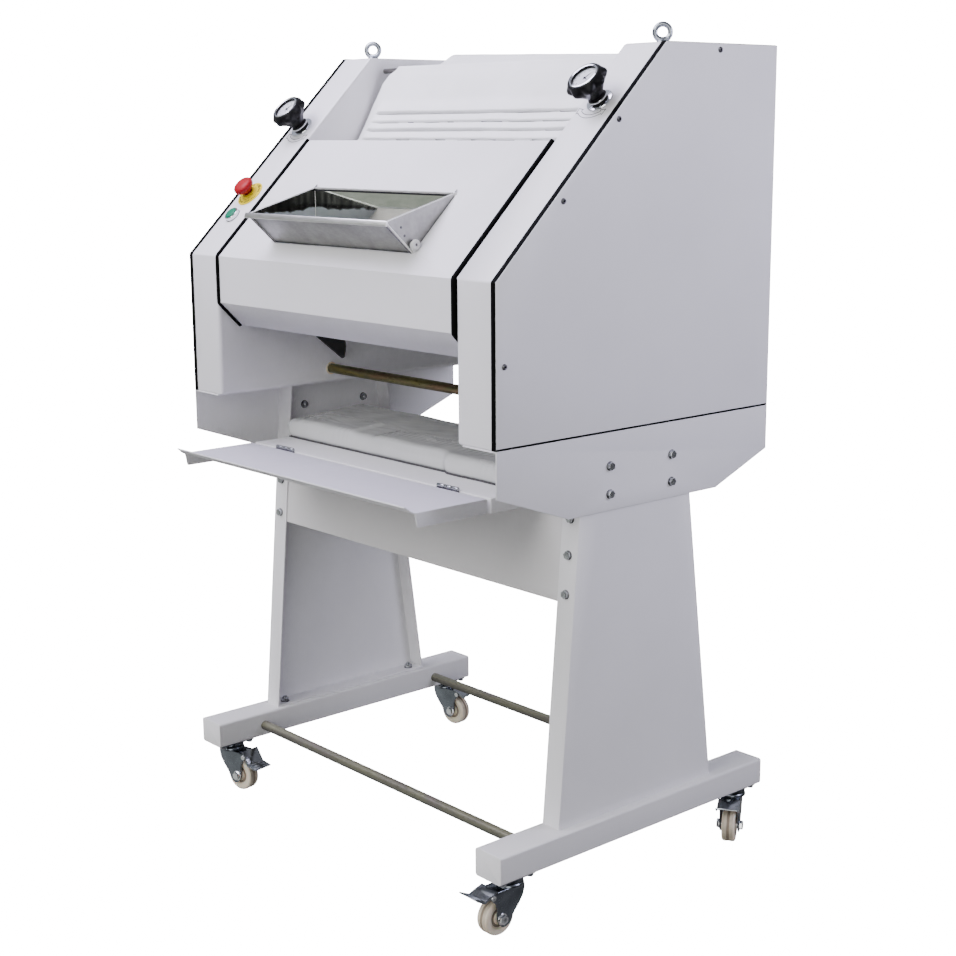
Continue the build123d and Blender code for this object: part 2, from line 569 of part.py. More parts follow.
# feet: square tubes with welded end plates
feet = []
for sx in (-1, 1):
    xa, xb = sorted((sx * FOOT_X0, sx * FOOT_X1))
    t = box(xa, xb, FOOT_Y0, FOOT_Y1, FOOT_Z0, FOOT_Z1)
    t = fillet(t.edges().filter_by(Axis.Y), 5.0)
    t -= box(xa + 3, xb - 3, FOOT_Y0 - 1, FOOT_Y1 + 1, FOOT_Z0 + 3, FOOT_Z1 - 3)
    xi = sx * FOOT_X0
    for y in ROD_FOOT_Y:
        t -= cyl_x((y, ROD_FOOT_Z), ROD_FOOT_R, xi - 8, xi + 8)
    for y in FOOT_BOLTS:
        t -= Pos(sx * 412, y, FOOT_Z1) * Cylinder(5.0, 10)
    feet.append(t)
    for ya, yb in ((FOOT_Y0 - 3, FOOT_Y0), (FOOT_Y1, FOOT_Y1 + 3)):
        c = box(xa, xb, ya, yb, FOOT_Z0, FOOT_Z1)
        feet.append(fillet(c.edges().filter_by(Axis.Y), 5.0))
node("foot_tubes", *feet)

# ------------------------------------------------------ tray, pad, shelf
X_TRAY = 346.5
tray = box(-X_TRAY, X_TRAY, 72, 450, TRAY_Z - 3, TRAY_Z) + box(-X_TRAY, X_TRAY, 72, 75, 722, TRAY_Z)
for sx in (-1, 1):
    xa, xb = sorted((sx * X_TRAY, sx * (X_TRAY - 3)))
    tray += box(xa, xb, 72, 185, 722, TRAY_Z)
node("discharge_tray", tray)
pad = prism([(150, TRAY_Z), (150, 785), (340, 797), (340, TRAY_Z)], -351, 351)
pad = fillet(pad.edges(), 10.0)
node("landing_pad", pad)

SX = SHELF_X
shelf = box(-SX, SX, -95, 66, TRAY_Z - 2.5, TRAY_Z)
shelf += box(-SX, SX, 63.5, 66, 726, TRAY_Z)
shelf += prism([(-94.9, TRAY_Z - 2.5), (-94.9, TRAY_Z), (-101.6, TRAY_Z + 11.2), (-103.5, TRAY_Z + 9.8), (-97.0, TRAY_Z - 2.5)], -LIP_X, LIP_X)
for sx in (-1, 1):
    xa, xb = sorted((sx * SX, sx * (SX - 2.5)))
    shelf += prism([(-88, TRAY_Z), (-83, 723), (66, 723), (66, TRAY_Z)], xa, xb)
node("shelf", shelf)
hy, hz = HINGE_YZ
fixed, moving = [], []
for hx in HINGE_X:
    lf = box(hx - HINGE_L, hx + HINGE_L, 70.6, 72.0, 728, 747.3)
    for xa, xb in ((hx - HINGE_L, hx - 9.2), (hx + 9.2, hx + HINGE_L)):
        lf += box(xa, xb, 70.6, 72.0, 747, 749.5) + cyl_x((hy, hz), 3.4, xa, xb)
        lf -= cyl_x((hy, hz), 1.8, xa - 1, xb + 1)
    fixed.append(lf)
    fixed.append(cyl_x((hy, hz), 1.8, hx - HINGE_L, hx + HINGE_L))
    lm = box(hx - HINGE_L, hx + HINGE_L, 66.0, 67.4, 728, 747.3)
    lm += box(hx - 8.8, hx + 8.8, 66.0, 67.4, 747, 749.5) + cyl_x((hy, hz), 3.4, hx - 8.8, hx + 8.8)
    lm -= cyl_x((hy, hz), 1.85, hx - 12, hx + 12)
    moving.append(lm)
node("hinge_fixed_leaves", *fixed)
node("hinge_shelf_leaves", *moving)

# ---------------------------------------------------------------- castors
plates = []
Z_PL = FOOT_Z0 - Z_FLOOR          # underside of the foot above the floor
CHEEK = [(-18.5, 82.0), (-18.5, 74.0), (-15.0, 62.0), (-6.0, 49.0), (5.0, 37.0), (11.0, 26.5), (17.0, 19.5), (24.5, 16.2), (32.0, 17.0),
         (39.0, 24.0), (43.0, 34.0), (43.0, 53.0), (45.5, 61.5), (54.0, 70.0), (56.5, 75.0), (54.9, 78.9), (51.0, 80.5), (44.0, 81.0), (36.0, 82.0)]
for name, (cx, cyy, ang, press) in CASTORS.items():
    p = box(-25, 25, -39, 39, Z_PL - 4, Z_PL)
    p += Pos(0, 0, Z_PL - 7) * Cylinder(24.0, 6.0) + Pos(0, 0, Z_PL - 15) * Cylinder(6.0, 20.0)
    plates.append(Pos(cx, cyy, Z_FLOOR) * p)
    L = Pos(cx, cyy, Z_FLOOR) * Rot(0, 0, ang)
    # fork: crown and two cheeks
    f = Pos(0, 0, Z_PL - 14.0) * Cylinder(25.0, 7.4) + box(-18.4, 41, -18.5, 18.5, 77.5, 81.6)
    for ya in (15.5, -18.5):
        face = make_face(Polyline(*CHEEK, close=True))
        pl = Plane(origin=(0, ya + 3, 0), x_dir=(1, 0, 0), z_dir=(0, -1, 0))
        f += extrude(pl * face, amount=3.0)
    f -= Pos(0, 0, Z_PL - 17) * Cylinder(6.05, 40)
    f -= Pos(TRAIL, 0, WHEEL_R) * Rot(90, 0, 0) * Cylinder(6.0, 60)
    bx, bz = BRAKE_PIN
    f -= Pos(bx, 0, bz) * Rot(90, 0, 0) * Cylinder(3.0, 60)
    axle = Pos(TRAIL, 0, WHEEL_R) * Rot(90, 0, 0) * Cylinder(6.0, 37.0)
    pa = Plane(origin=(TRAIL, -18.5, WHEEL_R), x_dir=(1, 0, 0), z_dir=(0, -1, 0))
    pb = Plane(origin=(TRAIL, 18.5, WHEEL_R), x_dir=(1, 0, 0), z_dir=(0, 1, 0))
    axle += hexa(pa, 9.0, 0, 6.0) + hexa(pb, 9.0, 0, 7.0)
    bpin = Pos(bx, 0, bz) * Rot(90, 0, 0) * Cylinder(3.0, 40.0)
    node("castor_fork_" + name, L * f, L * axle, L * bpin)
    w = Pos(TRAIL, 0, WHEEL_R) * Rot(90, 0, 0) * (Cylinder(WHEEL_R, WHEEL_W) - Cylinder(6.05, WHEEL_W + 4))
    w = fillet(w.edges().filter_by(GeomType.CIRCLE).sort_by(SortBy.RADIUS)[-2:], 4.0)
    node("castor_wheel_" + name, L * w)
    # brake pedal: bent plate on a hub between the cheeks
    plate = [(43.5, 86.6), (60.0, 81.6), (72.0, 77.0), (93.0, 87.2), (94.2, 84.8), (72.3, 74.2), (59.2, 79.1), (42.8, 84.0)]
    web_b = [(45.0, 84.2), (45.5, 76.0), (56.0, 75.5), (60.0, 79.4), (59.0, 80.6)]
    pl = Plane(origin=(0, 21.0, 0), x_dir=(1, 0, 0), z_dir=(0, -1, 0))
    bk = extrude(pl * make_face(Polyline(*plate, close=True)), amount=42.0)
    pl = Plane(origin=(0, 15.2, 0), x_dir=(1, 0, 0), z_dir=(0, -1, 0))
    bk += extrude(pl * make_face(Polyline(*web_b, close=True)), amount=30.4)
    bk += Pos(bx, 0, bz) * Rot(90, 0, 0) * Cylinder(5.5, 30.4)
    bk -= Pos(bx, 0, bz) * Rot(90, 0, 0) * Cylinder(3.05, 60)
    bk = Pos(bx, 0, bz) * Rot(0, press, 0) * Pos(-bx, 0, -bz) * bk
    node("castor_brake_" + name, L * bk)
node("castor_plates", *plates)

# ------------------------------------------------------------------ export
for name, solids in nodes.items():
    moved = [Pos(0, -Y_MID, -Z_FLOOR) * s for s in solids]
    shape = moved[0] if len(moved) == 1 else Compound(children=moved)
    export_step(shape, "parts/" + name + ".step")
print(len(nodes), "nodes")
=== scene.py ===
import json
import math
import random

import bmesh
import bpy
from mathutils import Matrix, Vector, noise


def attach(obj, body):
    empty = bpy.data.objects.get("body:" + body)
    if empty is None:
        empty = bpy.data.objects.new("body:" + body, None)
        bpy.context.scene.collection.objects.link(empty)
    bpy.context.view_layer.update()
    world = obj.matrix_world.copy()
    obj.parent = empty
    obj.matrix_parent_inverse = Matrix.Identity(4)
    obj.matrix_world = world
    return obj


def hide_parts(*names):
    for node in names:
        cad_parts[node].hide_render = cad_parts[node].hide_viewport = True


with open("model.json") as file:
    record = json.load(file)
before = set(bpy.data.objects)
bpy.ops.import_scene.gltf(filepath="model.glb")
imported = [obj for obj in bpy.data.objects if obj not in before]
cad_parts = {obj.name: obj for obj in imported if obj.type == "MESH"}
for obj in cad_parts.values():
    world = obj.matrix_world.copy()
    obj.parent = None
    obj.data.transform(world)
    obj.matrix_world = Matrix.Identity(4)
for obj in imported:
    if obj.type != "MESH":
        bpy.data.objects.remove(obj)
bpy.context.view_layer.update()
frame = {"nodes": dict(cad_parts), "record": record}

NODES = frame["nodes"]
NODE_BODY = {n: b for b, ns in frame["record"]["behaviour"]["bodies"].items() for n in ns}
NODE_SLOT = {s["node"]: s["material_slot"] for s in frame["record"]["subparts"]}

# ------------------------------------------------------------------ dimensions
# millimetres, y counted from the front face of the side housings
MM = 0.001
Y_MID, Z_FLOOR = 327.65, 23.0
W_HALF, X_IN, X_RIM = 441.5, 346.5, 430.5
Z_BOT, Z_KNEE, Z_TOP, Y_TOPF, Y_BACK = 848.5, 1113.0, 1482.0, 377.0, 661.0
SL_LEN = math.hypot(Y_TOPF, Z_TOP - Z_KNEE)
SL_U = Vector((0.0, Y_TOPF / SL_LEN, (Z_TOP - Z_KNEE) / SL_LEN))
SL_N = Vector((0.0, -(Z_TOP - Z_KNEE) / SL_LEN, Y_TOPF / SL_LEN))
HOOD_PATH = [(215.6, 1324.0), (0.0, 1113.0), (0.0, 1026.0), (46.0, 980.0)]
X_HOOD = 337.5
X_HOP, HOP_FB, HOP_LIP, HOP_RT, HOP_PIV = 200.0, (34.0, 1144.0), (-22.0, 1195.0), (127.0, 1239.0), (32.3, 1158.2)
X_CTRL, X_HW_R, Z_HW_L, Z_HW_R, Z_ESTOP, Z_START = 394.0, 386.0, 1347.0, 1386.5, 1223.0, 1183.0
PANEL_SCREWS = [(509.7, 1471.5), (266.6, 1357.8), (143.2, 1231.5), (16.8, 981.1)]
EYE_Y = 418.0
BAR_LOW, BAR_LOW_R, ROD_TOP, ROD_TOP_R = (259.5, 875.0), 9.5, (411.0, 1457.0), 5.0
LEG_FB, LEG_FT, LEG_RB, LEG_RT, LEG_X0, LEG_X1, LEG_Z0, LEG_Z1 = 141.0, 198.0, 528.0, 441.0, 398.0, 438.5, 172.0, 845.5
BASE_BOLTS = [(254.0, 791.5), (405.5, 791.5), (254.0, 743.6), (405.5, 743.6)]
FLANGE_F, FLANGE_R, FOOT_BOLTS, X_FB = (708.0, 646.0, 579.0), (720.0, 668.0), (168.0, 498.0), 418.0
FOOT_X0, FOOT_X1, FOOT_Z0, FOOT_Z1, FOOT_Y0, FOOT_Y1 = 391.0, 455.0, 122.0, 172.0, -4.0, 655.0
ROD_FOOT_Y, ROD_FOOT_Z, ROD_FOOT_R = (102.0, 556.0), 145.0, 9.5
TRAY_Z, SHELF_X, HINGE_YZ, HINGE_X, HINGE_L = 748.0, 345.0, (69.5, 751.0), (-240.0, 240.0), 27.0
DRUM_TOP, DRUM_BOT, DRUM_R, BELT_T, X_BELT, MOTOR_C = (478.0, 1392.0), (215.0, 1035.0), 60.0, 5.7, 325.0, (520.0, 1000.0)
WHEEL_R, TRAIL, BRAKE_PIN = 32.0, 32.0, (51.0, 75.0)
CASTORS = {
    "front_right": (423.0, 41.3, 269.5, 0.0),
    "front_left": (-423.0, 41.3, 9.8, 38.0),
    "rear_right": (423.0, 614.0, -56.4, 0.0),
    "rear_left": (-423.0, 614.0, 7.1, 0.0),
}


def P(x, y, z):
    return Vector((x * MM, (y - Y_MID) * MM, (z - Z_FLOOR) * MM))


def local(v):
    """Back from the scene to (x, y, z) in millimetres."""
    return v.x / MM, v.y / MM + Y_MID, v.z / MM + Z_FLOOR


def slope_y(z):
    return Y_TOPF * (z - Z_KNEE) / (Z_TOP - Z_KNEE)


def leg_front(z):
    return LEG_FB + (LEG_FT - LEG_FB) * (z - LEG_Z0) / (LEG_Z1 - LEG_Z0)


def leg_rear(z):
    return LEG_RB + (LEG_RT - LEG_RB) * (z - LEG_Z0) / (LEG_Z1 - LEG_Z0)


def frame_at(origin, zdir, xdir):
    """Matrix whose local Z is zdir and local X is xdir."""
    z = Vector(zdir).normalized()
    x = (Vector(xdir) - z * Vector(xdir).dot(z)).normalized()
    y = z.cross(x)
    return Matrix(((x.x, y.x, z.x, origin.x), (x.y, y.y, z.y, origin.y), (x.z, y.z, z.z, origin.z), (0, 0, 0, 1)))


def slope_frame(x, z):
    return frame_at(P(x, slope_y(z), z), SL_N, (1, 0, 0))


def smooth(a, b, x):
    t = max(0.0, min(1.0, (x - a) / (b - a)))
    return t * t * (3 - 2 * t)


# ---------------------------------------------------------------------- camera
def make_camera():
    yaw, pitch, roll = math.radians(48.836), math.radians(11.884), math.radians(0.385)
    fw = Vector((-math.sin(yaw) * math.cos(pitch), math.cos(yaw) * math.cos(pitch), -math.sin(pitch)))
    right = Vector((math.cos(yaw), math.sin(yaw), 0.0))
    down = fw.cross(right)
    r2 = right * math.cos(roll) + down * math.sin(roll)
    d2 = down * math.cos(roll) - right * math.sin(roll)
    up, back = -d2, -fw
    loc = P(2346.35, -1704.40, 1345.53)
    data = bpy.data.cameras.new("camera")
    data.sensor_width = 36.0
    data.lens = 1664.38 / 956.0 * 36.0
    data.clip_end = 100.0
    cam = bpy.data.objects.new("camera", data)
    bpy.context.scene.collection.objects.link(cam)
    cam.matrix_world = Matrix(((r2.x, up.x, back.x, loc.x), (r2.y, up.y, back.y, loc.y), (r2.z, up.z, back.z, loc.z), (0, 0, 0, 1)))
    bpy.context.scene.camera = cam


make_camera()


# ------------------------------------------------------------------- materials
def new_mat(name):
    m = bpy.data.materials.new(name)
    m.use_nodes = True
    nt = m.node_tree
    for n in list(nt.nodes):
        nt.nodes.remove(n)
    out = nt.nodes.new("ShaderNodeOutputMaterial")
    bs = nt.nodes.new("ShaderNodeBsdfPrincipled")
    nt.links.new(bs.outputs[0], out.inputs[0])
    tc = nt.nodes.new("ShaderNodeTexCoord")
    return m, nt, bs, tc


def mapped(nt, tc, scale=(1, 1, 1), rot=(0, 0, 0), loc=(0, 0, 0)):
    mp = nt.nodes.new("ShaderNodeMapping")
    mp.inputs["Scale"].default_value = scale
    mp.inputs["Rotation"].default_value = rot
    mp.inputs["Location"].default_value = loc
    nt.links.new(tc.outputs["Object"], mp.inputs["Vector"])
    return mp.outputs[0]


def noise_tex(nt, vec, scale, detail=3.0, rough=0.5, distortion=0.0):
    n = nt.nodes.new("ShaderNodeTexNoise")
    n.inputs["Scale"].default_value = scale
    n.inputs["Detail"].default_value = detail
    n.inputs["Roughness"].default_value = rough
    n.inputs["Distortion"].default_value = distortion
    nt.links.new(vec, n.inputs["Vector"])
    return n.outputs["Fac"]


def ramp(nt, fac, stops):
    r = nt.nodes.new("ShaderNodeValToRGB")
    el = r.color_ramp.elements
    while len(el) > 1:
        el.remove(el[-1])
    for i, (p, c) in enumerate(stops):
        e = el[0] if i == 0 else el.new(p)
        e.position = p
        e.color = (c[0], c[1], c[2], 1.0)
    nt.links.new(fac, r.inputs["Fac"])
    return r.outputs["Color"]


def rng(nt, fac, a, b, lo=0.0, hi=1.0):
    r = nt.nodes.new("ShaderNodeMapRange")
    r.inputs["From Min"].default_value = lo
    r.inputs["From Max"].default_value = hi
    r.inputs["To Min"].default_value = a
    r.inputs["To Max"].default_value = b
    nt.links.new(fac, r.inputs["Value"])
    return r.outputs[0]


def maths(nt, op, a, b):
    n = nt.nodes.new("ShaderNodeMath")
    n.operation = op
    for i, s in enumerate((a, b)):
        if isinstance(s, (int, float)):
            n.inputs[i].default_value = s
        else:
            nt.links.new(s, n.inputs[i])
    return n.outputs[0]


def bump(nt, bs, height, strength, distance, below=None):
    b = nt.nodes.new("ShaderNodeBump")
    b.inputs["Strength"].default_value = strength
    b.inputs["Distance"].default_value = distance
    nt.links.new(height, b.inputs["Height"])
    if below is not None:
        nt.links.new(below, b.inputs["Normal"])
    nt.links.new(b.outputs[0], bs.inputs["Normal"])
    return b.outputs[0]


def shade(c, k):
    return tuple(max(0.0, min(1.0, v * k)) for v in c)


def mat_paint(name, base, rough=0.40, peel=0.10, tint=0.03):
    """Powder coat: slow tone drift, patchy gloss, fine orange peel."""
    m, nt, bs, tc = new_mat(name)
    slow = noise_tex(nt, mapped(nt, tc), 5.0, 4.0, 0.55)
    nt.links.new(ramp(nt, slow, [(0.30, shade(base, 1 - tint)), (0.70, shade(base, 1 + tint * 0.5))]), bs.inputs["Base Color"])
    mid = noise_tex(nt, mapped(nt, tc), 60.0, 3.0)
    nt.links.new(rng(nt, mid, rough - 0.05, rough + 0.06, 0.3, 0.7), bs.inputs["Roughness"])
    peel_n = noise_tex(nt, mapped(nt, tc), 620.0, 2.0, 0.45)
    bump(nt, bs, peel_n, peel, 0.0004)
    return m


def mat_metal(name, c0, c1, rough=0.3, scale=120.0, stretch=(1, 1, 1), bump_s=0.05, r_var=0.08, coarse=None):
    """Metal: mottled tone, varying gloss, fine scratches; coarse adds larger stains."""
    m, nt, bs, tc = new_mat(name)
    bs.inputs["Metallic"].default_value = 1.0
    vec = mapped(nt, tc, stretch)
    n1 = noise_tex(nt, vec, scale, 4.0, 0.6)
    fac = n1
    if coarse:
        n0 = noise_tex(nt, mapped(nt, tc, (1, 1, 1), (0.3, 0.2, 0.5)), coarse, 3.0, 0.6, 0.6)
        fac = maths(nt, "ADD", maths(nt, "MULTIPLY", n0, 0.65), maths(nt, "MULTIPLY", n1, 0.35))
    nt.links.new(ramp(nt, fac, [(0.32, c0), (0.68, c1)]), bs.inputs["Base Color"])
    n2 = noise_tex(nt, vec, scale * 3.1, 3.0, 0.6)
    nt.links.new(rng(nt, n2, max(0.02, rough - r_var), rough + r_var, 0.3, 0.7), bs.inputs["Roughness"])
    bump(nt, bs, n2, bump_s, 0.0003)
    return m


def mat_cheek(name):
    """Polished steel in a dim chute: painted shade, near black with upright streaks, and a painted pale bluish
    reflection low down.
    """
    m, nt, bs, tc = new_mat(name)
    bs.inputs["Metallic"].default_value = 1.0
    streak = noise_tex(nt, mapped(nt, tc, (1, 9, 0.8)), 9.0, 4.0, 0.6)
    # painted shade: the streaked steel is kept near black
    dark = ramp(nt, streak, [(0.36, (0.010, 0.010, 0.011)), (0.56, (0.045, 0.045, 0.047)), (0.70, (0.22, 0.22, 0.22))])
    sep = nt.nodes.new("ShaderNodeSeparateXYZ")
    nt.links.new(tc.outputs["Object"], sep.inputs[0])
    wave = maths(nt, "MULTIPLY", noise_tex(nt, mapped(nt, tc, (1, 1, 0.3)), 42.0, 2.0), 0.016)
    high = maths(nt, "ADD", maths(nt, "ADD", sep.outputs["Z"], maths(nt, "MULTIPLY", sep.outputs["Y"], -0.065)), wave)
    # mask for the painted pale bluish reflection on the lower part
    low = rng(nt, high, 1.0, 0.0, 1.1990, 1.2025)
    mix = nt.nodes.new("ShaderNodeMix")
    mix.data_type = "RGBA"
    nt.links.new(low, mix.inputs[0])
    nt.links.new(dark, mix.inputs[6])
    mix.inputs[7].default_value = (0.40, 0.43, 0.50, 1.0)
    nt.links.new(mix.outputs[2], bs.inputs["Base Color"])
    nt.links.new(rng(nt, low, 0.08, 0.42), bs.inputs["Roughness"])
    bump(nt, bs, streak, 0.02, 0.0003)
    return m


def mat_yellow_zinc(name, tones, metal=0.85, under=None):
    """Chromated steel: gold, olive and rose patches along the bar, with painted shade on the underside between two
    heights.
    """
    m, nt, bs, tc = new_mat(name)
    bs.inputs["Metallic"].default_value = metal
    a = noise_tex(nt, mapped(nt, tc, (2.2, 14, 14)), 2.6, 4.0, 0.6, 0.8)
    col = ramp(nt, a, list(zip((0.28, 0.42, 0.55, 0.68, 0.80), tones)))
    # painted shade: between the given heights the underside turns near black
    if under:
        sep = nt.nodes.new("ShaderNodeSeparateXYZ")
        nt.links.new(tc.outputs["Object"], sep.inputs[0])
        mix = nt.nodes.new("ShaderNodeMix")
        mix.data_type = "RGBA"
        nt.links.new(rng(nt, sep.outputs["Z"], 0.85, 0.0, *under), mix.inputs[0])
        nt.links.new(col, mix.inputs[6])
        mix.inputs[7].default_value = (0.040, 0.040, 0.033, 1.0)
        col = mix.outputs[2]
    nt.links.new(col, bs.inputs["Base Color"])
    b = noise_tex(nt, mapped(nt, tc, (0.5, 6, 6)), 160.0, 3.0)
    nt.links.new(rng(nt, b, 0.24, 0.42, 0.3, 0.7), bs.inputs["Roughness"])
    bump(nt, bs, b, 0.10, 0.0003)
    return m


def mat_plastic(name, base, rough=0.35, grain=700.0, bump_s=0.06, coat=0.0, sub=0.0, tint=0.06, spec=0.5):
    m, nt, bs, tc = new_mat(name)
    slow = noise_tex(nt, mapped(nt, tc), 45.0, 3.0)
    nt.links.new(ramp(nt, slow, [(0.3, shade(base, 1 - tint)), (0.7, shade(base, 1 + tint))]), bs.inputs["Base Color"])
    fine = noise_tex(nt, mapped(nt, tc), grain, 2.0)
    nt.links.new(rng(nt, fine, rough - 0.05, rough + 0.07, 0.3, 0.7), bs.inputs["Roughness"])
    bs.inputs["Specular IOR Level"].default_value = spec
    bs.inputs["Coat Weight"].default_value = coat
    bs.inputs["Subsurface Weight"].default_value = sub
    bs.inputs["Subsurface Scale"].default_value = 0.002
    bump(nt, bs, fine, bump_s, 0.0003)
    return m


def mat_film(name):
    """Clear wrapping film over pale felt: glossy, slightly milky, crumpled into thin ridges."""
    m, nt, bs, tc = new_mat(name)
    a = noise_tex(nt, mapped(nt, tc, (1, 1.6, 1)), 9.0, 3.0, 0.5, 0.4)
    nt.links.new(ramp(nt, a, [(0.30, (0.50, 0.505, 0.51)), (0.70, (0.55, 0.555, 0.56))]), bs.inputs["Base Color"])
    warp = nt.nodes.new("ShaderNodeVectorMath")
    warp.operation = "MULTIPLY_ADD"
    wn = nt.nodes.new("ShaderNodeTexNoise")
    wn.inputs["Scale"].default_value = 18.0
    nt.links.new(mapped(nt, tc), wn.inputs["Vector"])
    nt.links.new(wn.outputs["Color"], warp.inputs[0])
    warp.inputs[1].default_value = (0.05, 0.05, 0.05)
    nt.links.new(mapped(nt, tc, (0.45, 1.4, 0.9), (0, 0, 0.12)), warp.inputs[2])
    heights = []
    for sc, k in ((9.0, 1.0), (26.0, 0.35), (80.0, 0.08)):
        v = nt.nodes.new("ShaderNodeTexVoronoi")
        v.feature = "DISTANCE_TO_EDGE"
        v.inputs["Scale"].default_value = sc
        nt.links.new(warp.outputs[0], v.inputs["Vector"])
        heights.append(maths(nt, "MULTIPLY", rng(nt, v.outputs["Distance"], 1.0, 0.0, 0.0, 0.13), k))
    ridge = maths(nt, "ADD", maths(nt, "ADD", heights[0], heights[1]), heights[2])
    nt.links.new(rng(nt, a, 0.16, 0.28, 0.3, 0.7), bs.inputs["Roughness"])
    bs.inputs["Coat Weight"].default_value = 0.9
    bs.inputs["Coat Roughness"].default_value = 0.07
    soft = noise_tex(nt, mapped(nt, tc, (0.4, 1.4, 1.0)), 26.0, 2.0, 0.45, 0.6)
    bump(nt, bs, maths(nt, "ADD", ridge, soft), 0.20, 0.0014)
    return m


def mat_fabric(name, base, scale=900.0, bump_s=0.35, fuzz=0.3):
    m, nt, bs, tc = new_mat(name)
    slow = noise_tex(nt, mapped(nt, tc), 14.0, 4.0)
    nt.links.new(ramp(nt, slow, [(0.3, shade(base, 0.96)), (0.7, shade(base, 1.02))]), bs.inputs["Base Color"])
    bs.inputs["Roughness"].default_value = 0.85
    bs.inputs["Sheen Weight"].default_value = fuzz
    bs.inputs["Sheen Roughness"].default_value = 0.6
    waves = []
    for axis in ("X", "Z"):
        w = nt.nodes.new("ShaderNodeTexWave")
        w.wave_type, w.bands_direction = "BANDS", axis
        w.inputs["Scale"].default_value = scale * 0.28
        w.inputs["Distortion"].default_value = 1.2
        nt.links.new(mapped(nt, tc), w.inputs["Vector"])
        waves.append(w.outputs["Fac"])
    weave = maths(nt, "MULTIPLY", waves[0], waves[1])
    fib = noise_tex(nt, mapped(nt, tc), scale, 3.0)
    bump(nt, bs, maths(nt, "ADD", weave, fib), bump_s, 0.0004)
    return m


WHITE = (0.735, 0.728, 0.752)
MAT = {
    "paint_white": mat_paint("paint_white", WHITE),
    "seal_black": mat_plastic("seal_black", (0.0022, 0.0022, 0.0024), 0.66, 500.0, 0.15, spec=0.03),
    "stainless": mat_metal("stainless", (0.50, 0.50, 0.49), (0.66, 0.66, 0.65), 0.22, 30.0, (1, 6, 6)),
    "zinc_steel": mat_metal("zinc_steel", (0.17, 0.19, 0.22), (0.44, 0.47, 0.52), 0.27, 70.0, coarse=24.0),
    "yellow_zinc": mat_yellow_zinc("yellow_zinc", [(0.11, 0.10, 0.045), (0.20, 0.175, 0.055), (0.15, 0.14, 0.065), (0.19, 0.125, 0.07), (0.12, 0.115, 0.065)]),
    "nylon_cream": mat_plastic("nylon_cream", (0.70, 0.62, 0.49), 0.42, 260.0, 0.08, 0.0, 0.15, 0.10),
    "nylon_white": mat_plastic("nylon_white", (0.80, 0.80, 0.79), 0.40),
    "black_plastic": mat_plastic("black_plastic", (0.004, 0.004, 0.005), 0.38, 420.0, 0.10, spec=0.16),
    "red_plastic": mat_plastic("red_plastic", (0.29, 0.003, 0.009), 0.40, spec=0.20),
    "green_plastic": mat_plastic("green_plastic", (0.003, 0.150, 0.080), 0.34, spec=0.2),
    "yellow_plastic": mat_plastic("yellow_plastic", (0.72, 0.56, 0.012), 0.50, spec=0.2),
    "felt_white": mat_fabric("felt_white", (0.80, 0.80, 0.81)),
    "film_wrap": mat_film("film_wrap"),
    "roller_steel": mat_metal("roller_steel", (0.48, 0.48, 0.48), (0.60, 0.60, 0.60), 0.25, 60.0, (0.4, 3, 3)),
    "drum_alloy": mat_metal("drum_alloy", (0.60, 0.60, 0.61), (0.72, 0.72, 0.73), 0.35, 60.0, (0.4, 3, 3)),
    "motor_grey": mat_paint("motor_grey", (0.13, 0.15, 0.17), 0.42, 0.14, 0.1),
    "board_black": mat_paint("board_black", (0.015, 0.015, 0.016), 0.45, 0.12, 0.1),
}
HOP_IN = mat_metal("stainless_mirror", (0.80, 0.75, 0.65), (0.93, 0.89, 0.80), 0.50, 24.0, (1, 3, 3), 0.02, 0.05)
HOP_CHEEK_SHADE = mat_cheek("stainless_cheek_shaded")
# a bright copy of the steel for seams: painted highlight
SEAM_HIGHLIGHT = mat_metal("stainless_seam_highlight", (0.80, 0.80, 0.78), (0.93, 0.93, 0.91), 0.50, 60.0, (0.3, 2, 2), 0.05, 0.08)
# greenish mirror steel for the rear plate: the green is a painted reflection
HOP_REAR_REFLECTION = mat_metal("stainless_rear_reflection", (0.53, 0.57, 0.50), (0.63, 0.66, 0.59), 0.06, 24.0, (1, 3, 3), 0.02, 0.02)
HOP_OUT = mat_metal("stainless_dull", (0.29, 0.29, 0.285), (0.44, 0.44, 0.435), 0.36, 60.0, (1, 2, 2), 0.05, 0.08, coarse=26.0)
# a darker copy of the dull steel for the front plate's outside: painted shade
HOP_FRONT_SHADE = mat_metal("stainless_front_shaded", (0.19, 0.19, 0.188), (0.33, 0.33, 0.325), 0.38, 60.0, (1, 2, 2), 0.05, 0.08, coarse=18.0)
# a brighter copy of the steel for the hem and folds: painted highlight
HEM_HIGHLIGHT = mat_metal("stainless_hem_highlight", (0.62, 0.62, 0.60), (0.76, 0.76, 0.74), 0.42, 60.0, (0.3, 2, 2), 0.05, 0.08)
ROD_GREY = mat_metal("rod_grey", (0.16, 0.155, 0.145), (0.34, 0.33, 0.315), 0.24, 60.0, (0.3, 3, 3))
# a darker copy of the white paint for the feet: painted shade from the machine above
FOOT_SHADE_PAINT = mat_paint("paint_feet_shaded", (0.680, 0.673, 0.682))
# a darker copy of the white paint for the front beam: painted shade from the shelf above
BEAM_SHADE_PAINT = mat_paint("paint_beam_shaded", (0.648, 0.633, 0.650))
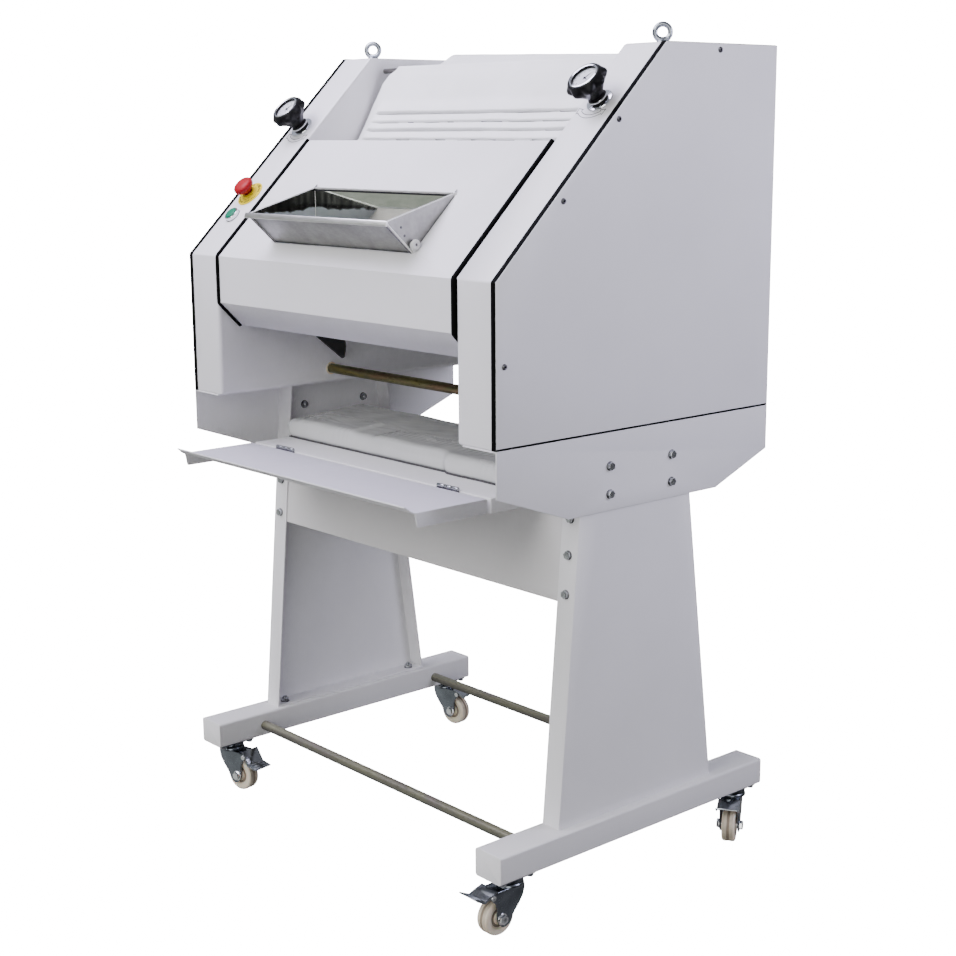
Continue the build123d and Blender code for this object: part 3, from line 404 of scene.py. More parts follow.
# the foot rods get painted shade on their underside
FOOT_ROD_UNDERSHADE = mat_yellow_zinc("rod_chromate_undershade", [(0.142, 0.143, 0.136), (0.205, 0.203, 0.138), (0.165, 0.155, 0.132), (0.202, 0.168, 0.156), (0.138, 0.131, 0.125)], 0.4, (0.1175, 0.1290))
CASTOR = mat_metal("zinc_castor", (0.105, 0.117, 0.136), (0.24, 0.26, 0.295), 0.22, 50.0, coarse=12.0)
PEDAL = mat_metal("zinc_pedal", (0.20, 0.215, 0.24), (0.40, 0.425, 0.46), 0.20, 50.0, coarse=12.0)
# a darker, lilac copy of the white paint for the shelf's top: painted shade from the hood above
SHELF_TOP_SHADE = mat_paint("paint_shelf_top_shaded", (0.645, 0.630, 0.715))
# near-black felt for the gaps under the apron's laps: painted shade
GAP_SHADE_FELT = mat_fabric("felt_gap_shade", (0.07, 0.07, 0.072))
CHROME = mat_metal("bright_chrome", (0.72, 0.73, 0.75), (0.82, 0.83, 0.85), 0.10, 90.0, (1, 1, 1), 0.02, 0.04)
BRIGHT = mat_metal("bright_zinc", (0.34, 0.35, 0.37), (0.56, 0.58, 0.60), 0.22, 160.0, (1, 1, 1), 0.05, 0.07)
DARKM = mat_metal("dark_steel", (0.10, 0.10, 0.11), (0.20, 0.20, 0.21), 0.36, 160.0)
DIAL = mat_plastic("dial_white", (0.56, 0.575, 0.61), 0.34, 400.0, 0.02, spec=0.3)
# black for print and, in recesses and gaps, as painted shade
BLACK_PRINT_AND_SHADE = mat_plastic("black_print_and_shade", (0.008, 0.008, 0.009), 0.5, 400.0, 0.02, spec=0.15)
# dark grey for printed lines and for the painted shade strip under the pad
GREY_PRINT_AND_SHADE = mat_plastic("grey_print_and_shade", (0.07, 0.07, 0.075), 0.5, 400.0, 0.02, spec=0.2)
WHEEL_BROWN_BAND = mat_plastic("wheel_brown_band", (0.22, 0.175, 0.13), 0.6, 200.0, 0.1, 0.0, 0.0, 0.25)
TREAD = mat_plastic("wheel_tread", (0.50, 0.435, 0.34), 0.55, 160.0, 0.1, 0.0, 0.0, 0.35)
for n, o in NODES.items():
    o.data.materials.clear()
    o.data.materials.append(MAT[NODE_SLOT[n]])


# -------------------------------------------------------------- shape helpers
def finish_mesh(obj, angle=35.0):
    me = obj.data
    for p in me.polygons:
        p.use_smooth = True
    me.set_sharp_from_angle(angle=math.radians(angle))
    return obj


def rounded(pts, radius, step=9.0):
    """Open (u, v) polyline with its corners turned into arcs; radius is a number or one per corner."""
    out = [Vector(pts[0])]
    for i in range(1, len(pts) - 1):
        r = radius if isinstance(radius, (int, float)) else radius[i - 1]
        p0, p1, p2 = Vector(pts[i - 1]), Vector(pts[i]), Vector(pts[i + 1])
        d1, d2 = (p0 - p1), (p2 - p1)
        l1, l2 = d1.length, d2.length
        d1, d2 = d1 / l1, d2 / l2
        ang = math.acos(max(-1.0, min(1.0, d1.dot(d2))))
        turn = math.pi - ang
        if turn < 0.01 or r <= 0:
            out.append(p1)
            continue
        t = min(r / math.tan(ang / 2), 0.48 * l1, 0.48 * l2)
        r = t * math.tan(ang / 2)
        c = p1 + (d1 + d2).normalized() * (r / math.sin(ang / 2))
        a, b = p1 + d1 * t - c, p1 + d2 * t - c
        a0 = math.atan2(a.y, a.x)
        da = (math.atan2(b.y, b.x) - a0 + math.pi) % (2 * math.pi) - math.pi
        n = max(2, int(math.degrees(abs(da)) / step) + 1)
        for k in range(n + 1):
            q = a0 + da * k / n
            out.append(c + Vector((math.cos(q), math.sin(q))) * r)
    out.append(Vector(pts[-1]))
    return out


def normals2(pts, closed=False):
    """Mitre vectors to the right of travel of a (u, v) polyline."""
    n, out = len(pts), []
    for i in range(n):
        a = pts[i - 1] if (i > 0 or closed) else None
        b = pts[(i + 1) % n] if (i < n - 1 or closed) else None
        p = Vector(pts[i])
        ns = []
        for q0, q1 in ((a, p), (p, b)):
            if q0 is None or q1 is None:
                continue
            t = Vector(q1) - Vector(q0)
            if t.length > 1e-9:
                t.normalize()
                ns.append(Vector((t.y, -t.x)))
        m = ns[0] if len(ns) == 1 else (ns[0] + ns[1]) / max(0.2, 1.0 + ns[0].dot(ns[1]))
        out.append(m)
    return out


def offset2(pts, d, closed=False):
    return [Vector(p) + n * d for p, n in zip(pts, normals2(pts, closed))]


def bevel_bm(bm, width, segs=2, angle=25.0, pick=None):
    bm.normal_update()
    edges = [e for e in bm.edges if len(e.link_faces) == 2 and e.calc_face_angle(0.0) > math.radians(angle) and (pick is None or pick(e))]
    if edges and width > 0:
        bmesh.ops.bevel(bm, geom=edges, offset=width, offset_type="OFFSET", segments=segs, profile=0.5, affect="EDGES", clamp_overlap=True)
    return bm


def prism_bm(poly, h0, h1, bevel=0.0, segs=2, angle=25.0):
    """Polygon (u, v) extruded along the third axis."""
    bm = bmesh.new()
    lo = [bm.verts.new((p[0], p[1], h0)) for p in poly]
    hi = [bm.verts.new((p[0], p[1], h1)) for p in poly]
    bm.faces.new(lo[::-1])
    bm.faces.new(hi)
    n = len(poly)
    for i in range(n):
        bm.faces.new((lo[i], lo[(i + 1) % n], hi[(i + 1) % n], hi[i]))
    bmesh.ops.recalc_face_normals(bm, faces=bm.faces)
    return bevel_bm(bm, bevel, segs, angle)


def box_bm(x0, x1, y0, y1, z0, z1, bevel=0.0, segs=2):
    return prism_bm([(x0, y0), (x1, y0), (x1, y1), (x0, y1)], z0, z1, bevel, segs)


def round_rect(w, h, r, n=6):
    """Half sizes w, h with corner radius r."""
    out = []
    for cx, cy, a0 in ((w - r, h - r, 0), (-w + r, h - r, 90), (-w + r, -h + r, 180), (w - r, -h + r, 270)):
        for k in range(n + 1):
            a = math.radians(a0 + 90.0 * k / n)
            out.append((cx + r * math.cos(a), cy + r * math.sin(a)))
    return out


def yz(p):
    """Places a prism drawn in (y, z) and extruded along x."""
    return P(p.z, p.x, p.y)


def xyz(p):
    return P(p.x, p.y, p.z)


def fold_bm(path, t, x0, x1, bevel=0.5, segs=2):
    """Folded sheet: a (y, z) path with thickness t to its right, extruded along x."""
    return prism_bm(list(path) + offset2(path, t)[::-1], x0, x1, bevel, segs, 40.0)


class Geo:
    """A mesh in the making: points in metres, faces with a material index."""

    def __init__(self):
        self.v, self.f, self.m = [], [], []

    def add(self, pts, faces, mat=0):
        b = len(self.v)
        self.v += [Vector(p) for p in pts]
        self.f += [tuple(b + i for i in f) for f in faces]
        self.m += [mat] * len(faces) if isinstance(mat, int) else list(mat)

    def solid(self, bm, mat=0, M=None, place=None):
        """Takes in a bmesh drawn in millimetres."""
        bm.verts.index_update()
        pts = [place(v.co) if place else M @ (v.co * MM) for v in bm.verts]
        self.add(pts, [[v.index for v in f.verts] for f in bm.faces], mat)
        bm.free()

    def lathe(self, M, prof, segs=48, mat=0, mats=None, loop=False, warp=None):
        """Turned about the frame's Z; prof is (radius, height) in mm, radius 0 closes it, loop joins the ends."""
        pts, rings = [], []
        for r, h in prof:
            if r < 1e-6:
                rings.append([len(pts)])
                pts.append(M @ Vector((0, 0, h * MM)))
                continue
            ring = []
            for j in range(segs):
                a = 2 * math.pi * j / segs
                q = r if warp is None else warp(r, h, a)
                ring.append(len(pts))
                pts.append(M @ Vector((q * math.cos(a) * MM, q * math.sin(a) * MM, h * MM)))
            rings.append(ring)
        faces, ms = [], []
        n = len(rings)
        for i in range(n if loop else n - 1):
            a, b = rings[i], rings[(i + 1) % n]
            mt = mats[i] if mats else mat
            for j in range(segs):
                k = (j + 1) % segs
                if len(a) == 1 and len(b) == 1:
                    break
                if len(a) == 1:
                    faces.append((a[0], b[k], b[j]))
                elif len(b) == 1:
                    faces.append((a[j], a[k], b[0]))
                else:
                    faces.append((a[j], a[k], b[k], b[j]))
                ms.append(mt)
        if not loop:
            for ring, mt in ((rings[0], mats[0] if mats else mat), (rings[-1], mats[-1] if mats else mat)):
                if len(ring) > 1:
                    faces.append(tuple(ring))
                    ms.append(mt)
        self.add(pts, faces, ms)

    def tube(self, line, radius, segs=16, mat=0, closed=False):
        """Round tube along points in metres; radius in mm, one value or one per point."""
        n = len(line)
        rad = [radius] * n if isinstance(radius, (int, float)) else radius
        t0 = (line[1] - line[0]).normalized()
        up = t0.orthogonal().normalized()
        pts, prev = [], t0
        for i in range(n):
            a, b = line[(i - 1) % n] if (closed or i > 0) else line[i], line[(i + 1) % n] if (closed or i < n - 1) else line[i]
            t = (b - a).normalized()
            up = (up - t * up.dot(t)).normalized()
            side = t.cross(up)
            for j in range(segs):
                q = 2 * math.pi * j / segs
                pts.append(line[i] + (up * math.cos(q) + side * math.sin(q)) * rad[i] * MM)
        faces = []
        for i in range(n if closed else n - 1):
            k = (i + 1) % n
            for j in range(segs):
                l = (j + 1) % segs
                faces.append((i * segs + j, i * segs + l, k * segs + l, k * segs + j))
        if not closed:
            faces.append(tuple(range(segs)))
            faces.append(tuple((n - 1) * segs + j for j in range(segs)))
        self.add(pts, faces, mat)

    def hexhead(self, M, r, h0, h1, mat=0, bore=False):
        """Hexagon of corner radius r with its outer corners turned off."""
        rings = []
        for q, h in ((r, h0), (r, h1 - 0.16 * r), (0.90 * r, h1 - 0.02 * r), (0.78 * r, h1)):
            rings.append([M @ Vector((q * math.cos(math.radians(60 * k)) * MM, q * math.sin(math.radians(60 * k)) * MM, h * MM)) for k in range(6)])
        pts = [p for ring in rings for p in ring]
        faces = [tuple(range(5, -1, -1)), tuple(18 + k for k in range(6))]
        for i in range(3):
            for k in range(6):
                l = (k + 1) % 6
                faces.append((i * 6 + k, i * 6 + l, (i + 1) * 6 + l, (i + 1) * 6 + k))
        self.add(pts, faces, mat)
        if bore:
            self.lathe(M, [(0.52 * r, h1 - 0.3), (0.52 * r, h1 + 2.2), (0.44 * r, h1 + 2.9), (0, h1 + 3.0)], 16, mat)

    def washer(self, M, r0, r1, h0, h1, mat=0, segs=28):
        c = min(0.35, 0.3 * (h1 - h0))
        self.lathe(M, [(r0, h0), (r1 - c * 0.5, h0), (r1, h0 + c), (r1, h1 - c), (r1 - c, h1), (r0, h1)], segs, mat, None, True)

    def strip(self, M, pts, width, h, mat=0, closed=True):
        """Thin raised line of that width along (u, v) points on a frame's XY plane."""
        a, b = offset2(pts, width / 2, closed), offset2(pts, -width / 2, closed)
        n = len(pts)
        v = [M @ Vector((p.x * MM, p.y * MM, z * MM)) for p0, p1 in zip(a, b) for p, z in ((p0, 0.0), (p0, h), (p1, h), (p1, 0.0))]
        f = []
        for i in range(n if closed else n - 1):
            k = (i + 1) % n
            for s in range(4):
                w = (s + 1) % 4
                f.append((i * 4 + s, k * 4 + s, k * 4 + w, i * 4 + w))
        if not closed:
            f += [(0, 1, 2, 3), tuple((n - 1) * 4 + s for s in range(4))]
        self.add(v, f, mat)

    def make(self, name, mats, body, nodes=(), slot=None, angle=32.0):
        me = bpy.data.meshes.new(name)
        bm = bmesh.new()
        vs = [bm.verts.new(p) for p in self.v]
        for f, m in zip(self.f, self.m):
            fc = bm.faces.new([vs[i] for i in f])
            fc.material_index = m
        bmesh.ops.recalc_face_normals(bm, faces=bm.faces)
        bm.to_mesh(me)
        bm.free()
        ob = bpy.data.objects.new(name, me)
        bpy.context.scene.collection.objects.link(ob)
        for m in mats:
            me.materials.append(m)
        finish_mesh(ob, angle)
        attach(ob, body)
        if nodes:
            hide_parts(*nodes)
        return ob


def text_bm(body, size):
    """Plain figures as a thin solid, centred on the origin, in millimetres."""
    cu = bpy.data.curves.new("figures", "FONT")
    cu.body, cu.size, cu.extrude = body, size, 0.05
    cu.align_x, cu.align_y = "CENTER", "CENTER"
    ob = bpy.data.objects.new("figures", cu)
    bpy.context.scene.collection.objects.link(ob)
    me = bpy.data.meshes.new_from_object(ob.evaluated_get(bpy.context.evaluated_depsgraph_get()))
    bm = bmesh.new()
    bm.from_mesh(me)
    bpy.data.objects.remove(ob)
    bpy.data.curves.remove(cu)
    bpy.data.meshes.remove(me)
    return bm


def clone(node, name, bevel=0.0007, segs=2, min_len=0.010, min_angle=25.0, weight=None, mat=None, clamp=True, angle=35.0):
    """A clean copy of a node's shape with its sharp edges rounded."""
    bm = bmesh.new()
    bm.from_mesh(NODES[node].data)
    bmesh.ops.remove_doubles(bm, verts=bm.verts, dist=2e-6)
    bmesh.ops.dissolve_limit(bm, angle_limit=math.radians(0.4), verts=bm.verts, edges=bm.edges)
    bm.normal_update()
    lay = bm.edges.layers.float.get("bevel_weight_edge") or bm.edges.layers.float.new("bevel_weight_edge")
    for e in bm.edges:
        if len(e.link_faces) != 2 or e.calc_length() < min_len:
            continue
        a = e.calc_face_angle(0.0)
        if math.degrees(a) < min_angle:
            continue
        e[lay] = 1.0 if weight is None else weight(e)
    me = bpy.data.meshes.new(name)
    bm.to_mesh(me)
    bm.free()
    ob = bpy.data.objects.new(name, me)
    bpy.context.scene.collection.objects.link(ob)
    me.materials.append(mat or MAT[NODE_SLOT[node]])
    if bevel > 0:
        bv = ob.modifiers.new("bevel", "BEVEL")
        bv.width = bevel
        bv.segments = segs
        bv.limit_method = "WEIGHT"
        bv.use_clamp_overlap = clamp
        bv.harden_normals = False
        dg = bpy.context.evaluated_depsgraph_get()
        done = bpy.data.meshes.new_from_object(ob.evaluated_get(dg))
        ob.modifiers.clear()
        old = ob.data
        ob.data = done
        bpy.data.meshes.remove(old)
    finish_mesh(ob, angle)
    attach(ob, NODE_BODY[node])
    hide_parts(node)
    return ob


# ------------------------------------------------------------- sheet-metal work
def on_profile(y, z, tol=0.2):
    if abs(y) < tol and z <= Z_KNEE + tol:
        return True
    if abs(z - Z_TOP) < tol or abs(y - Y_BACK) < tol:
        return True
    return abs((y - slope_y(z)) * (Z_TOP - Z_KNEE) / SL_LEN) < tol and z >= Z_KNEE - tol


def w_housing(e):
    p, q = local(e.verts[0].co), local(e.verts[1].co)
    both = all(on_profile(v[1], v[2]) for v in (p, q))
    if both and all(abs(abs(v[0]) - X_IN) < 0.2 for v in (p, q)) and not all(abs(v[1] - Y_BACK) < 0.2 for v in (p, q)):
        return 1.0
    if both and abs(p[0] - q[0]) > 30:
        return 0.40
    return 0.11


def w_hood(e):
    p, q = local(e.verts[0].co), local(e.verts[1].co)
    if abs(p[0] - q[0]) > 300:
        for y, z in HOOD_PATH[1:3]:
            if all(math.hypot(v[1] - y, v[2] - z) < 0.3 for v in (p, q)):
                return 1.0
        if all(math.hypot(v[1] - HOOD_PATH[0][0], v[2] - HOOD_PATH[0][1]) < 0.3 for v in (p, q)):
            return 0.45
    return 0.10


def w_leg(e):
    p, q = local(e.verts[0].co), local(e.verts[1].co)
    if abs(p[2] - q[2]) > 300 and all(abs(abs(v[0]) - LEG_X1) < 0.2 for v in (p, q)):
        return 1.0
    return 0.16


for nd in ("housing_right", "housing_left"):
    clone(nd, nd + "_shell", 0.0068, 4, weight=w_housing)
clone("hood", "hood_shell", 0.0065, 5, weight=w_hood)
for nd in ("leg_right", "leg_left"):
    clone(nd, nd + "_channel", 0.0042, 4, weight=w_leg)
# the front beam takes the darker paint as painted shade
for nd in ("base_plate_right", "base_plate_left", "front_beam", "rear_beam", "rear_cover", "side_panel_right", "side_panel_left"):
    clone(nd, nd + "_sheet", 0.0008, 2, mat=BEAM_SHADE_PAINT if nd == "front_beam" else None)
clone("side_seals", "side_seal_strips", 0.0016, 3)
clone("discharge_tray", "discharge_tray_sheet", 0.0016, 3)
clone("pressure_board", "pressure_board_plate", 0.0007, 2, 0.003)
for nd in ("sheeting_roller_rear", "sheeting_roller_front", "belt_drum_top", "belt_drum_bottom"):
    clone(nd, nd + "_turned", 0.0006, 2, 0.0008, 50.0)
for nd in ("roller_carriage", "shaft_bearings", "motor_sprocket", "drive_chain"):
    clone(nd, nd + "_part", 0.0005, 2, 0.0008, 50.0)


def hood_seals():
    g = Geo()
    path = rounded(HOOD_PATH, 9.0, 6.0)
    ns = normals2(path)
    # the travel runs down the front, so the right-hand side is outward
    prof = [(0.0, -8.0), (0.0, 1.6), (0.5, 2.9), (1.5, 3.9), (2.7, 4.4), (4.0, 4.5), (5.3, 4.4), (6.5, 3.9), (7.5, 2.9), (8.0, 1.6), (8.0, -8.0)]
    for sx in (-1, 1):
        rows = [[P(sx * (X_HOOD + u), p.x + n.x * h, p.y + n.y * h) for u, h in prof] for p, n in zip(path, ns)]
        m = len(prof)
        pts = [q for r in rows for q in r]
        faces = []
        for i in range(len(rows) - 1):
            for j in range(m):
                k = (j + 1) % m
                faces.append((i * m + j, i * m + k, (i + 1) * m + k, (i + 1) * m + j))
        faces.append(tuple(range(m)))
        faces.append(tuple((len(rows) - 1) * m + j for j in range(m)))
        g.add(pts, faces)
    g.make("hood_seal_beads", [MAT["seal_black"]], "hood", ["hood_seals"], "seal_black")


hood_seals()


def side_beads():
    """The rubber between rim and side panel swells a little past both."""
    g = Geo()
    path = rounded([(0.0, Z_BOT + 0.6), (0.0, Z_KNEE), (Y_TOPF, Z_TOP), (Y_BACK, Z_TOP), (Y_BACK, Z_BOT + 0.6)], [4.0, 4.0, 3.0], 6.0)
    ns = [-n for n in normals2(path)]
    prof = [(429.8, -1.2), (429.8, 0.3), (430.4, 0.8), (432.0, 1.1), (435.0, 1.2), (438.0, 1.1), (439.8, 0.8), (440.4, 0.3), (440.4, -1.2)]
    for sx in (-1, 1):
        rows = [[P(sx * x, p.x + n.x * h, p.y + n.y * h) for x, h in prof] for p, n in zip(path, ns)]
        m = len(prof)
        faces = [(i * m + j, i * m + (j + 1) % m, (i + 1) * m + (j + 1) % m, (i + 1) * m + j) for i in range(len(rows) - 1) for j in range(m)]
        faces += [tuple(range(m)), tuple((len(rows) - 1) * m + j for j in range(m))]
        g.add([q for r in rows for q in r], faces)
    g.make("side_seal_beads", [MAT["seal_black"]], "frame", (), "seal_black")


side_beads()


def shelf():
    g = Geo()
    lip = [(-103.2, 759.0), (-101.6, 758.6), (-98.6, 756.4), (-95.4, 753.0), (-92.0, 750.4), (-87.5, 748.6), (-82.0, 748.0)]
    path = [Vector(p) for p in lip] + rounded([(-60.0, 748.0), (66.0, 748.0), (66.0, 726.0)], 4.0)
    path = path[::-1]
    # seen along the reversed travel the sheet's thickness lies below and inside
    bm = fold_bm(path, -2.5 if offset2(path, 1.0)[-2].y > path[-2].y else 2.5, -SHELF_X, SHELF_X, 0.5, 2)
    for v in bm.verts:
        cut = (8.0 if v.co.z > 0 else 0.8) * smooth(-86.0, -103.0, v.co.x)
        if abs(v.co.z) > SHELF_X - 2.0:
            v.co.z -= math.copysign(cut, v.co.z)
    bm.normal_update()
    # upward faces take the darker top paint as painted shade
    g.solid(bm, [1 if f.normal.y > 0.8 else 0 for f in bm.faces], None, yz)
    for sx in (-1, 1):
        poly = rounded([(-60.0, 747.2), (-89.0, 747.2), (-86.5, 741.0), (-83.4, 723.2), (63.3, 723.2), (63.3, 747.2), (-60.0, 747.2)], [1.0, 8.0, 4.0, 4.0, 0.0])
        xa, xb = sorted((sx * SHELF_X, sx * (SHELF_X - 2.5)))
        g.solid(prism_bm(poly[:-1], xa, xb, 0.6, 2, 40.0), 0, None, yz)
    g.make("shelf_sheet", [MAT["paint_white"], SHELF_TOP_SHADE], "shelf", ["shelf"], "paint_white")


shelf()


def hinges():
    hy, hz = HINGE_YZ
    fixed, moving = Geo(), Geo()
    knuckle = lambda l: [(0, 0), (2.7, 0), (3.2, 0.25), (3.4, 0.7), (3.4, l - 0.7), (3.2, l - 0.25), (2.7, l), (0, l)]
    for hx in HINGE_X:
        for xa, xb, g in ((hx - HINGE_L, hx - 9.3, fixed), (hx + 9.3, hx + HINGE_L, fixed), (hx - 8.7, hx + 8.7, moving)):
            g.lathe(frame_at(P(xa, hy, hz), (1, 0, 0), (0, 1, 0)), knuckle(xb - xa), 24)
        for g, y0, y1, side in ((fixed, 70.5, 72.0, -1), (moving, 66.0, 67.5, 1)):
            g.solid(box_bm(hx - HINGE_L, hx + HINGE_L, y0, y1, 728, 748.6, 0.4), 1, None, xyz)
            for dx in (-18.0, 18.0):
                face = y0 if side < 0 else y1
                g.lathe(frame_at(P(hx + dx, face, 736), (0, side, 0), (1, 0, 0)), [(0, 0.5), (1.2, 0.5), (2.4, 0.3), (2.8, 0.0), (2.8, -0.2)], 18)
        fixed.lathe(frame_at(P(hx - HINGE_L - 0.8, hy, hz), (1, 0, 0), (0, 1, 0)), [(0, 0), (1.7, 0), (2.0, 0.3), (2.0, 2 * HINGE_L + 1.3), (1.7, 2 * HINGE_L + 1.6), (0, 2 * HINGE_L + 1.6)], 16)
    fixed.make("hinge_fixed_halves", [BRIGHT, DARKM], "frame", ["hinge_fixed_leaves"], "zinc_steel")
    moving.make("hinge_shelf_halves", [BRIGHT, DARKM], "shelf", ["hinge_shelf_leaves"], "zinc_steel")


hinges()


def feet():
    g = Geo()
    h = (FOOT_Z1 - FOOT_Z0) / 2
    w = (FOOT_X1 - FOOT_X0) / 2
    for sx in (-1, 1):
        cx = sx * (FOOT_X0 + FOOT_X1) / 2
        # tube and end plates as one run of rings, with a shallow weld groove at each plate
        rings = []
        ends = [(FOOT_Y0 - 3.0, 0.9), (FOOT_Y0 - 2.7, 0.35), (FOOT_Y0 - 2.0, 0.0), (FOOT_Y0 - 0.35, 0.0), (FOOT_Y0, 0.45), (FOOT_Y0 + 0.5, 0.1), (FOOT_Y0 + 1.2, 0.0)]
        ends += [(FOOT_Y0 + FOOT_Y1 - y, d) for y, d in ends[::-1]]
        for y, d in ends:
            rings.append([P(cx + p[0], y, (FOOT_Z0 + FOOT_Z1) / 2 + p[1]) for p in round_rect(w - d, h - d, 5.0, 6)])
        m = len(rings[0])
        faces = []
        for i in range(len(rings) - 1):
            for j in range(m):
                k = (j + 1) % m
                faces.append((i * m + j, i * m + k, (i + 1) * m + k, (i + 1) * m + j))
        faces += [tuple(range(m)), tuple((len(rings) - 1) * m + j for j in range(m))]
        g.add([p for r in rings for p in r], faces)
    # the feet take the darker paint as painted shade
    g.make("foot_tube_pair", [FOOT_SHADE_PAINT], "frame", ["foot_tubes"], "paint_white", 28.0)


feet()


def bars():
    g = Geo()
    for (y, z), r, x0, x1 in [((yy, ROD_FOOT_Z), ROD_FOOT_R, -440, 440) for yy in ROD_FOOT_Y] + [(BAR_LOW, BAR_LOW_R, -360, 360)]:
        n, low = 24, z < 300
        prof = [(0, 0), (r - 1.2, 0), (r, 1.2)] + [(r, 1.2 + (x1 - x0 - 2.4) * k / n) for k in range(1, n)] + [(r, x1 - x0 - 1.2), (r - 1.2, x1 - x0), (0, x1 - x0)]
        g.lathe(frame_at(P(x0, y, z), (1, 0, 0), (0, 1, 0)), prof, 32, 1 if low else 0)
    g.make("tie_rod_bars", [MAT["yellow_zinc"], FOOT_ROD_UNDERSHADE], "frame", ["tie_rods"], "yellow_zinc")
    # bushes where the upper bar enters the walls
    g = Geo()
    for sx in (-1, 1):
        g.lathe(frame_at(P(sx * X_IN, *BAR_LOW), (-sx, 0, 0), (0, 1, 0)), [(9.7, -0.4), (12.6, -0.4), (12.6, 1.6), (12.0, 2.4), (9.7, 2.4)], 36, 0, None, True)
    g.make("bar_bushes", [MAT["nylon_cream"]], "frame", (), "nylon_cream")
    g = Geo()
    r = ROD_TOP_R
    g.lathe(frame_at(P(-356, ROD_TOP[0], ROD_TOP[1]), (1, 0, 0), (0, 1, 0)), [(0, 0), (r - 0.8, 0), (r, 0.8), (r, 356), (r, 711.2), (r - 0.8, 712), (0, 712)], 24)
    g.make("apron_rod_bar", [ROD_GREY], "frame", ["apron_rod"], "zinc_steel")


bars()


# ----------------------------------------------------------------- soft pieces
def thick_sheet(g, rows, t, mat=0):
    """Closed sheet of thickness t (mm) about a grid of points in metres."""
    nr, nc = len(rows), len(rows[0])
    top, bot = [], []
    for i in range(nr):
        for j in range(nc):
            du = rows[i][min(j + 1, nc - 1)] - rows[i][max(j - 1, 0)]
            dv = rows[min(i + 1, nr - 1)][j] - rows[max(i - 1, 0)][j]
            n = du.cross(dv)
            n = n.normalized() if n.length > 1e-12 else Vector((0, 0, 1))
            top.append(rows[i][j] + n * (t * 0.5 * MM))
            bot.append(rows[i][j] - n * (t * 0.5 * MM))
    o = nr * nc
    faces = []
    for i in range(nr - 1):
        for j in range(nc - 1):
            a, b, c, d = i * nc + j, i * nc + j + 1, (i + 1) * nc + j + 1, (i + 1) * nc + j
            faces.append((a, b, c, d))
            faces.append((o + d, o + c, o + b, o + a))
    for i in range(nr - 1):
        for j in (0, nc - 1):
            a, d = i * nc + j, (i + 1) * nc + j
            faces.append((a, d, o + d, o + a) if j == 0 else (d, a, o + a, o + d))
    for j in range(nc - 1):
        for i in (0, nr - 1):
            a, b = i * nc + j, i * nc + j + 1
            faces.append((b, a, o + a, o + b) if i == 0 else (a, b, o + b, o + a))
    g.add(top + bot, faces, mat)


def resample(pts, step):
    """Evenly spaced points along a polyline of 2-D vectors, ends kept."""
    pts = [Vector(p) for p in pts]
    cum = [0.0]
    for a, b in zip(pts, pts[1:]):
        cum.append(cum[-1] + (b - a).length)
    n = max(2, int(cum[-1] / step))
    out, i = [], 0
    for k in range(n + 1):
        s = cum[-1] * k / n
        while i < len(pts) - 2 and cum[i + 1] < s:
            i += 1
        out.append(pts[i].lerp(pts[i + 1], (s - cum[i]) / max(1e-9, cum[i + 1] - cum[i])))
    return out


PLEATS = (1371.0, 1355.0, 1339.0, 1322.5)


def pleat(z):
    """Outward step (mm) of the lapped pleats at height z: each lap swells down to a free edge with a gap under it that
    is painted dark as shade.
    """
    for k, zt in enumerate(PLEATS):
        top = zt + 3.0
        up = PLEATS[k - 1] if k else zt + 30.0
        amp = (1.0, 0.6, 1.0, 0.55)[k]
        if zt < z < top:
            return -7.5 * amp * math.sqrt(max(0.0, 1.0 - ((z - zt - 1.5) / 1.5) ** 2)), k
        if top <= z <= up:
            h = min(1.0, (z - top) / 2.2)
            return 6.0 * amp * smooth(up, top, z) * math.sqrt(1.0 - (1.0 - h) ** 2), k
    return 0.0, 0


